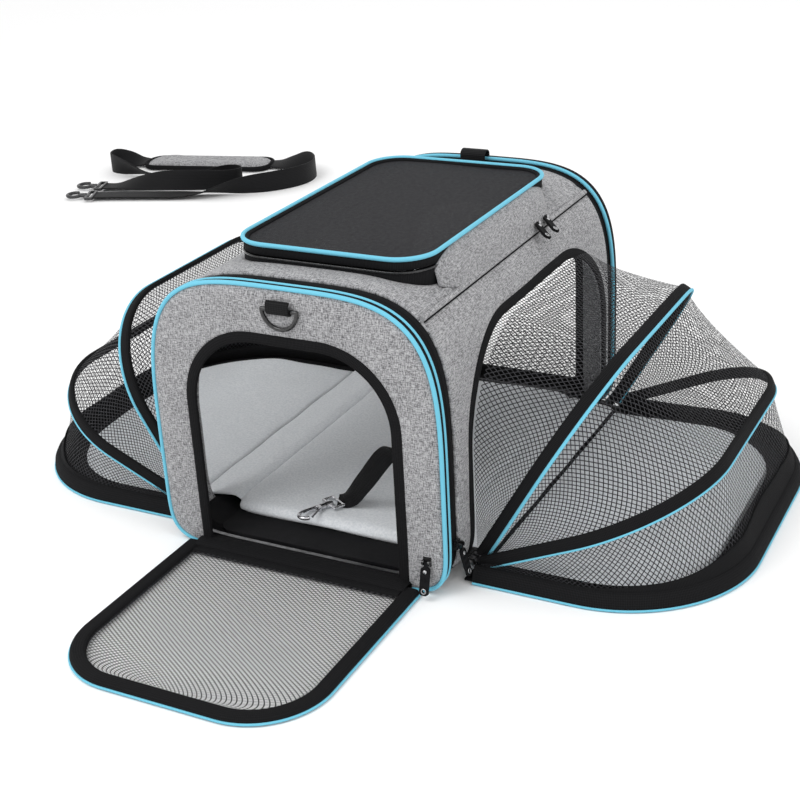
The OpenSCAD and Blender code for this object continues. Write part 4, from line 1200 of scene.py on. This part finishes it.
# Roof flap.
flap = {"corner": 0.036, "wall": 0.006, "crown": 0.0022, "piping": 0.0022, "netDrop": 0.0034}
fx0, fx1, fy0, fy1 = flapBox[0].x, flapBox[1].x, flapBox[0].y, flapBox[1].y
fz0, fz1 = flapBox[0].z, flapBox[1].z


def loopFrame(p, z):
    # the outline at one height with its outward direction
    path = np.column_stack([p, np.full(len(p), z)])
    t = tangents(path, True)
    out = np.cross(t, (0, 0, 1))
    if ((path - path.mean(0)) * out).sum() < 0:
        out = -out
    return path, out


half = flap["wall"] / 2
p = roundedLoop(fx0 + half, fx1 - half, fy0 + half, fy1 - half, flap["corner"] - half, 220)
path, out = loopFrame(p, (fz0 + fz1) / 2)
profile = barProfile(flap["wall"], fz1 - fz0 - 0.0012, 0.0024)
obj = carry("flapBand", path, out, (0, 0, 1), profile, True, tape)
settle(obj, "roof_flap", "black_tape", "flap_band")
path, out = loopFrame(p, fz1 - 0.0008)
settle(tube("flapPiping", path + out * half, flap["piping"], pipingCloth, True), "roof_flap", "black_tape")
rimLow, rimHigh = rimBox[0].z, rimBox[1].z
path, out = loopFrame(p, (rimLow + rimHigh) / 2)
profile = barProfile(flap["wall"], rimHigh - rimLow, 0.0016)
obj = carry("roofRimBand", path, out, (0, 0, 1), profile, True, tape)
settle(obj, "carrier", "black_tape", "roof_rim")
path, out = loopFrame(p, rimHigh - 0.0004)
path = path + out * (half + 0.0004)
obj = carry("flapZipTeeth", path, out, (0, 0, 1), barProfile(0.0014, 0.0022), True, blackEnamel)
settle(obj, "carrier", "zip")
rows, cols = 90, 56
u = np.linspace(-1, 1, rows)[:, None]
v = np.linspace(-1, 1, cols)[None, :]
inset = flap["wall"] * 0.6
hx, hy, r = (fx1 - fx0) / 2 - inset, (fy1 - fy0) / 2 - inset, flap["corner"] - inset
yy = hy * u * np.ones_like(v)
over = np.clip(np.abs(yy) - (hy - r), 0, r)
xx = v * (hx - r + np.sqrt(np.maximum(r ** 2 - over ** 2, 1e-10)))
zz = fz1 - flap["netDrop"] + flap["crown"] * (1 - u ** 4) * (1 - v ** 4)
zz = zz + 0.0006 * np.sin(40 * xx + 20 * yy) * (1 - v ** 2)
grid = np.stack([xx + (fx0 + fx1) / 2, yy + (fy0 + fy1) / 2, zz], -1)
obj = addGrid("flapNet", grid, flapNet, clothUv(grid))
faceTo(obj, (0, 0, 1))
settle(obj, "roof_flap", "mesh", "flap_mesh")
# the flap's fabric hinge: straight lines from the roof up to the flap, bulging outward, drawn in at both ends
y = np.linspace(fy0 + flap["corner"] * 0.8, fy1 - flap["corner"] * 0.8, 70)
turn = np.linspace(0, 1, 16)[None, :]
nearEnd = np.clip(np.minimum(y - y[0], y[-1] - y) / 0.035, 0, 1)[:, None]
spread = 0.003 + 0.012 * np.sin(nearEnd * np.pi / 2) ** 0.8
topZ = rimHigh - 0.004 + (fz1 - 0.003 - rimHigh + 0.004) * nearEnd ** 0.5
startX = fx1 + spread
startZ = roofZ(startX) + 0.0008
endX = fx1 - 0.0004
sx = startX * (1 - turn) + endX * turn + 0.0030 * np.sin(np.pi * turn) * nearEnd
sz = startZ * (1 - turn) + topZ * turn + 0.0010 * np.sin(np.pi * turn)
strip = np.stack([sx, y[:, None] + 0 * sx, sz], -1)
obj = addGrid("flapHingeCloth", strip, cloth, clothUv(strip))
faceTo(obj, (1, 0, 0.5))
addSolidify(obj, 0.0014, 0.0)
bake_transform(obj)
print("flap made")

# Rings, tabs and frame pieces that keep their shape.
tabs = {"wide": 0.024, "thick": 0.0018, "barZ": 0.262, "barY": 0.2325, "topZ": 0.271, "bend": 0.0034,
        "topTabX": -0.012, "topTabY": 0.2150, "topTabWide": 0.030, "topTabBend": 0.0065}


def foldedTab(name, path, width):
    # webbing carried down, round its bend and back, level along X
    up = np.cross((1, 0, 0), tangents(path, False))
    obj = carry(name, path, (1, 0, 0), up, barProfile(width, tabs["thick"]), False, webbing)
    return settle(obj, "carrier", "black_tape")


a = np.linspace(0, np.pi, 12)
for word, s in (("front", -1), ("rear", 1)):
    r, y = tabs["bend"], tabs["barY"]
    legZ = np.linspace(tabs["topZ"], tabs["barZ"] + 0.0005, 6)
    arcY = np.concatenate([[y + r] * 6, y + r * np.cos(a), [y - r] * 6])
    arcZ = np.concatenate([legZ, tabs["barZ"] - r * np.sin(a), legZ[::-1]])
    path = np.column_stack([np.zeros(len(arcY)), s * arcY, arcZ])
    path[:2, 1] -= s * np.array([0.0024, 0.0010])
    ringTab = foldedTab(word + "RingTab", path, tabs["wide"])
    if s < 0:
        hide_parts("ring_tabs")
r, y = tabs["topTabBend"], tabs["topTabY"]
legZ = np.linspace(0.2770, 0.2860, 5)
tabY = np.concatenate([np.full(5, y - r), y - r * np.cos(a), np.full(5, y + r)])
tabZ = np.concatenate([legZ, 0.2860 + 0.0050 * np.sin(a), legZ[::-1]])
path = np.column_stack([np.full(len(tabY), tabs["topTabX"]), tabY, tabZ])
foldedTab("rearTopTab", path, tabs["topTabWide"])
paint(blackEnamel, "front_d_ring", "rear_d_ring", "pivot_pins", "door_slider", "side_slider")
paint(rivetMetal, "top_slider_a", "top_slider_b")
paint(tapeOnCad, "door_pull", "side_pull", "top_pull_a", "top_pull_b")
paint(lining, "bottom_panel", "base_board")
paint(springSteel, "frame_wires", "right_inner_wire", "right_outer_wire", "right_floor_wire",
      "left_inner_wire", "left_outer_wire", "left_floor_wire")
paint(chrome, "tether_swivel", "tether_hook", "tether_gate")
paint(mouldedPlastic, "tri_glide", "near_hook_loop", "near_hook", "near_hook_gate",
      "far_hook_loop", "far_hook", "far_hook_gate")
print("hardware painted")

# Webbing: tether and shoulder strap.


def splineThrough(points, per=8):
    # Catmull-Rom curve through the points, the ends repeated
    p = np.asarray(points, float)
    e = np.vstack([2 * p[0] - p[1], p, 2 * p[-1] - p[-2]])
    t = np.linspace(0, 1, per, endpoint=False)[:, None]
    parts = []
    for i in range(1, len(e) - 2):
        a, b, c, d = e[i - 1], e[i], e[i + 1], e[i + 2]
        square, cube = 2 * a - 5 * b + 4 * c - d, 3 * b - a - 3 * c + d
        parts.append(0.5 * (2 * b + (c - a) * t + square * t ** 2 + cube * t ** 3))
    return np.vstack(parts + [p[-1:]])


tether = {"wide": 0.020, "thick": 0.0018, "route": [  # millimetres, from the anchor to the hook
    (112, -192, 8), (113, -192, 24), (113, -192, 44), (112, -191, 64), (110, -189, 82), (105, -186, 98),
    (96, -181, 109), (84, -175, 113), (71, -169, 108), (58, -163, 96), (45, -157, 80), (32, -151, 63),
    (20, -146, 48), (9, -142, 34), (-1, -140, 27), (-9, -142, 24.6)]}
path = splineThrough(np.array(tether["route"]) / 1000, 6)
t = tangents(path, False)
share = np.linspace(0, 1, len(path))[:, None]
wanted = unit(np.array([[0.55, 0.83, 0]]) * (1 - share) + np.array([[0.80, -0.55, 0.0]]) * share)
across = unit(wanted - t * (wanted * t).sum(1, keepdims=True))
band = barProfile(tether["wide"], tether["thick"], 0.0008)
obj = carry("tetherWebbing", path, across, np.cross(t, across), band, False, webbing)
settle(obj, "carrier", "webbing", "tether_strap")

strap = {  # a route is X, Y and Z in millimetres and the roll in degrees
    "at": (-0.860, 0.860, 0.0), "turn": math.radians(28), "wide": 0.036, "thick": 0.0022,
    "padAt": (0.007, 0.120), "padTurn": math.radians(-15), "padSize": (0.246, 0.072), "padCorner": 0.028,
    "padThick": 0.0105, "padLowest": 0.0006,
    "routeA": [
        (-173, -1, 6, 0), (-150, -4, 6, 0), (-120, -10, 10, 20), (-90, -17, 14, 40),
        (-55, -25, 17, 60), (-20, -34, 18, 75), (20, -44, 19, 88), (50, -50, 19, 90),
        (72, -48, 19, 90), (82, -34, 19, 90), (74, -18, 19, 88), (54, -6, 18, 75),
        (28, 4, 15, 50), (0, 14, 9, 20), (-28, 26, 6, 0), (-60, 40, 6, 0),
        (-95, 56, 10, 20), (-130, 74, 16, 50), (-160, 94, 19, 80), (-176, 118, 19, 90),
        (-170, 142, 19, 85), (-150, 154, 14, 50), (-128, 154, 8, 15), (-106, 149, 7, 0)],
    "routeB": [
        (120, 91, 7, 0), (142, 84, 7, 10), (168, 72, 12, 35), (194, 52, 18, 70),
        (210, 24, 19, 90), (210, -8, 19, 90), (196, -38, 19, 90), (168, -62, 19, 90),
        (132, -78, 19, 88), (92, -86, 18, 70), (52, -88, 14, 40), (12, -86, 8, 12),
        (-30, -81, 6, 0), (-72, -74, 6, 0), (-112, -67, 6, 0), (-150, -61, 6, 0), (-181, -58, 6, 0)],
}


def turned(p, angle):
    # points turned about Z by the angle
    p = np.asarray(p, float)
    c, s = math.cos(angle), math.sin(angle)
    return np.stack([p[..., 0] * c - p[..., 1] * s, p[..., 0] * s + p[..., 1] * c, p[..., 2]], -1)


def strapPlace(p):
    # turned about Z and moved to where the strap lies
    return turned(p, strap["turn"]) + np.array(strap["at"])


def layWebbing(name, route, replaced):
    # band along the route whose width is level at roll 0 and upright at roll 90
    raw = np.array(route, float)
    dense = splineThrough(raw, 7)
    local = dense[:, :3] / 1000
    t = tangents(local, False)
    level = unit(np.stack([-t[:, 1], t[:, 0], 0 * t[:, 0]], 1))
    up = np.cross(t, level)
    r = np.radians(dense[:, 3])[:, None]
    across = level * np.cos(r) + up * np.sin(r)
    face = up * np.cos(r) - level * np.sin(r)
    path = strapPlace(local)
    band = barProfile(strap["wide"], strap["thick"], 0.0009)
    obj = carry(name, path, turned(across, strap["turn"]), turned(face, strap["turn"]), band, False, webbing)
    settle(obj, "shoulder_strap", "webbing", *replaced)
    length = float(lengthAlong(path)[-1])
    return length


lengthA = layWebbing("strapWebbingA", strap["routeA"], ["strap_webbing"])
lengthB = layWebbing("strapWebbingB", strap["routeB"], [])

# Shoulder pad.


def padLocal(p):
    # turned and moved to the pad's place in the strap, and then with the strap
    return strapPlace(turned(p, strap["padTurn"]) + np.array([*strap["padAt"], 0.0]))


sx, sy = strap["padSize"]
rows, cols = 64, 26
u = np.linspace(-1, 1, rows)[:, None]
v = np.linspace(-1, 1, cols)[None, :]
xx = sx / 2 * u * np.ones_like(v)
r = strap["padCorner"]
over = np.clip(np.abs(xx) - (sx / 2 - r), 0, r - 1e-5)
yy = v * (sy / 2 - r + np.sqrt(r ** 2 - over ** 2))
rim = (1 - np.abs(u) ** 14) ** 0.5 * (1 - np.abs(v) ** 8) ** 0.5
top = padLocal(np.stack([xx, yy, 0.0012 + strap["padThick"] * (0.25 + 0.70 * rim)], -1))
low = padLocal(np.stack([xx, yy, 0.0012 + strap["padThick"] * 0.25 * (1 - rim)], -1))
obj = closedSlab("strapPadCushion", top, low, clothOnCad)
puffUp(obj, 0.005, 4.0, 0.004, strap["padLowest"], None)
settle(obj, "shoulder_strap", "pad", "strap_pad")
edge = roundedLoop(-sx / 2, sx / 2, -sy / 2, sy / 2, r, 160)
path = padLocal(np.column_stack([edge, np.full(len(edge), 0.0060)]))
path, out = loopFrame(path[:, :2], path[0, 2])
obj = carry("strapPadBinding", path, out, (0, 0, 1), barProfile(0.005, 0.0085, 0.002), True, tape)
settle(obj, "shoulder_strap", "black_tape")
print("pad made")

# Small pieces with no frame node of their own.
small = {
    "pull": (0.0088, 0.0022, 0.0260), "slider": (0.0085, 0.0060, 0.0100), "keeper": (0.0265, 0.0056, 0.0130),
    "rivet": 0.0019, "rivetAt": 0.0085, "eyeletAt": 0.0270, "eyelet": 0.0022, "half": 0.0012,
    "hang": math.radians(75), "slope": math.radians(40),
}


def boxPiece(name, centre, size, material, body, slotName, turn=0.0, bevel=0.0011):
    # a bevelled box turned about Z
    half = np.array(size) / 2
    p = np.array([[x, y, z] for x in (-1, 1) for y in (-1, 1) for z in (-1, 1)]) * half
    p = turned(p, turn) + np.array(centre)
    faces = np.array([[0, 1, 3, 2], [4, 6, 7, 5], [0, 4, 5, 1], [2, 3, 7, 6], [0, 2, 6, 4], [1, 5, 7, 3]])
    obj = addMesh(name, p, faces, material, None, (), False)
    fixNormals(obj)
    m = obj.modifiers.new("edges", "BEVEL")
    m.width, m.segments = bevel, 2
    return settle(obj, body, slotName)


def turnMatrix(axis, angle):
    # a turn about one of the main axes
    return Matrix.Rotation(angle, 4, axis)


def rivetOn(name, place, body):
    # a low dome turned from a profile, near the top of the pull, and a ring round the hole at its tip
    a = np.arange(20) * 2 * np.pi / 20
    radius = small["rivet"] * np.array([1.0, 1.0, 0.82, 0.45])
    height = small["half"] + np.array([-0.0002, 0.0004, 0.0008, 0.0010])
    dome = [(r * np.cos(t), r * np.sin(t) - small["rivetAt"], h) for r, h in zip(radius, height) for t in a]
    p = np.array([place @ Vector(v) for v in dome])
    obj = addMesh(name + "Rivet", p, gridFaces(4, 20, False, True), rivetMetal, None,
                  [list(range(20)), list(range(60, 80))[::-1]])
    fixNormals(obj)
    settle(obj, body, "chrome")
    r = small["eyelet"]
    path = np.stack([r * np.cos(a), -small["eyeletAt"] + r * np.sin(a), 0 * a + small["half"]], 1)
    path = np.array([place @ Vector(v) for v in path])
    settle(tube(name + "Eyelet", path, 0.0005, rivetMetal, True, 8), body, "chrome")


hangFrame = Matrix.Translation((0, -0.002, 0)) @ turnMatrix("X", small["hang"])
doorPlace = Matrix.Translation((0.134, -0.2318, 0.036)) @ hangFrame
sidePlace = Matrix.Translation((0.1533, -0.205, 0.044)) @ turnMatrix("Z", math.pi / 2) @ hangFrame
rivetOn("doorPull", doorPlace, "door_zip_pull")
rivetOn("sidePull", sidePlace, "side_zip_pull")
shoulder = turnMatrix("Y", small["slope"]) @ turnMatrix("Z", math.pi / 4) @ turnMatrix("X", -math.pi / 2)
for letter, y in (("a", 0.068), ("b", 0.090)):
    place = Matrix.Translation((0.120, y, 0.262)) @ shoulder @ hangFrame
    rivetOn("topPull" + letter, place, "top_zip_pull_" + letter)
boxPiece("tetherKeeper", (0.1115, -0.1915, 0.0600), small["keeper"], mouldedPlastic, "carrier", "plastic",
         math.atan2(0.83, 0.55))
for name, x, y, turn in (("leftSide", -0.1560, -0.205, math.pi / 2), ("rightRear", 0.134, 0.2345, 0.0),
                         ("leftRear", -0.134, 0.2345, 0.0)):
    boxPiece(name + "Slider", (x, y, 0.040), small["slider"], blackEnamel, "carrier", "zip", turn)
    out = np.array([math.copysign(0.0042, x), 0, 0]) if turn else np.array([0, math.copysign(0.0042, y), 0])
    place = np.array([x, y, 0.024]) + out
    boxPiece(name + "Pull", place, small["pull"], tapeOnCad, "carrier", "black_tape", turn)
print("small pieces made")

# Floor.
floorMaterial, w, shader = newMaterial("paleFloor")
shader.inputs["Base Color"].default_value = stageSet["floorColor"]
shader.inputs["Roughness"].default_value = 0.9
r, z = 30.0, -0.0004
corners = np.array([[-r, -r, z], [r, -r, z], [r, r, z], [-r, r, z]])
addMesh("studioFloor", corners, np.array([[0, 1, 2, 3]]), floorMaterial)
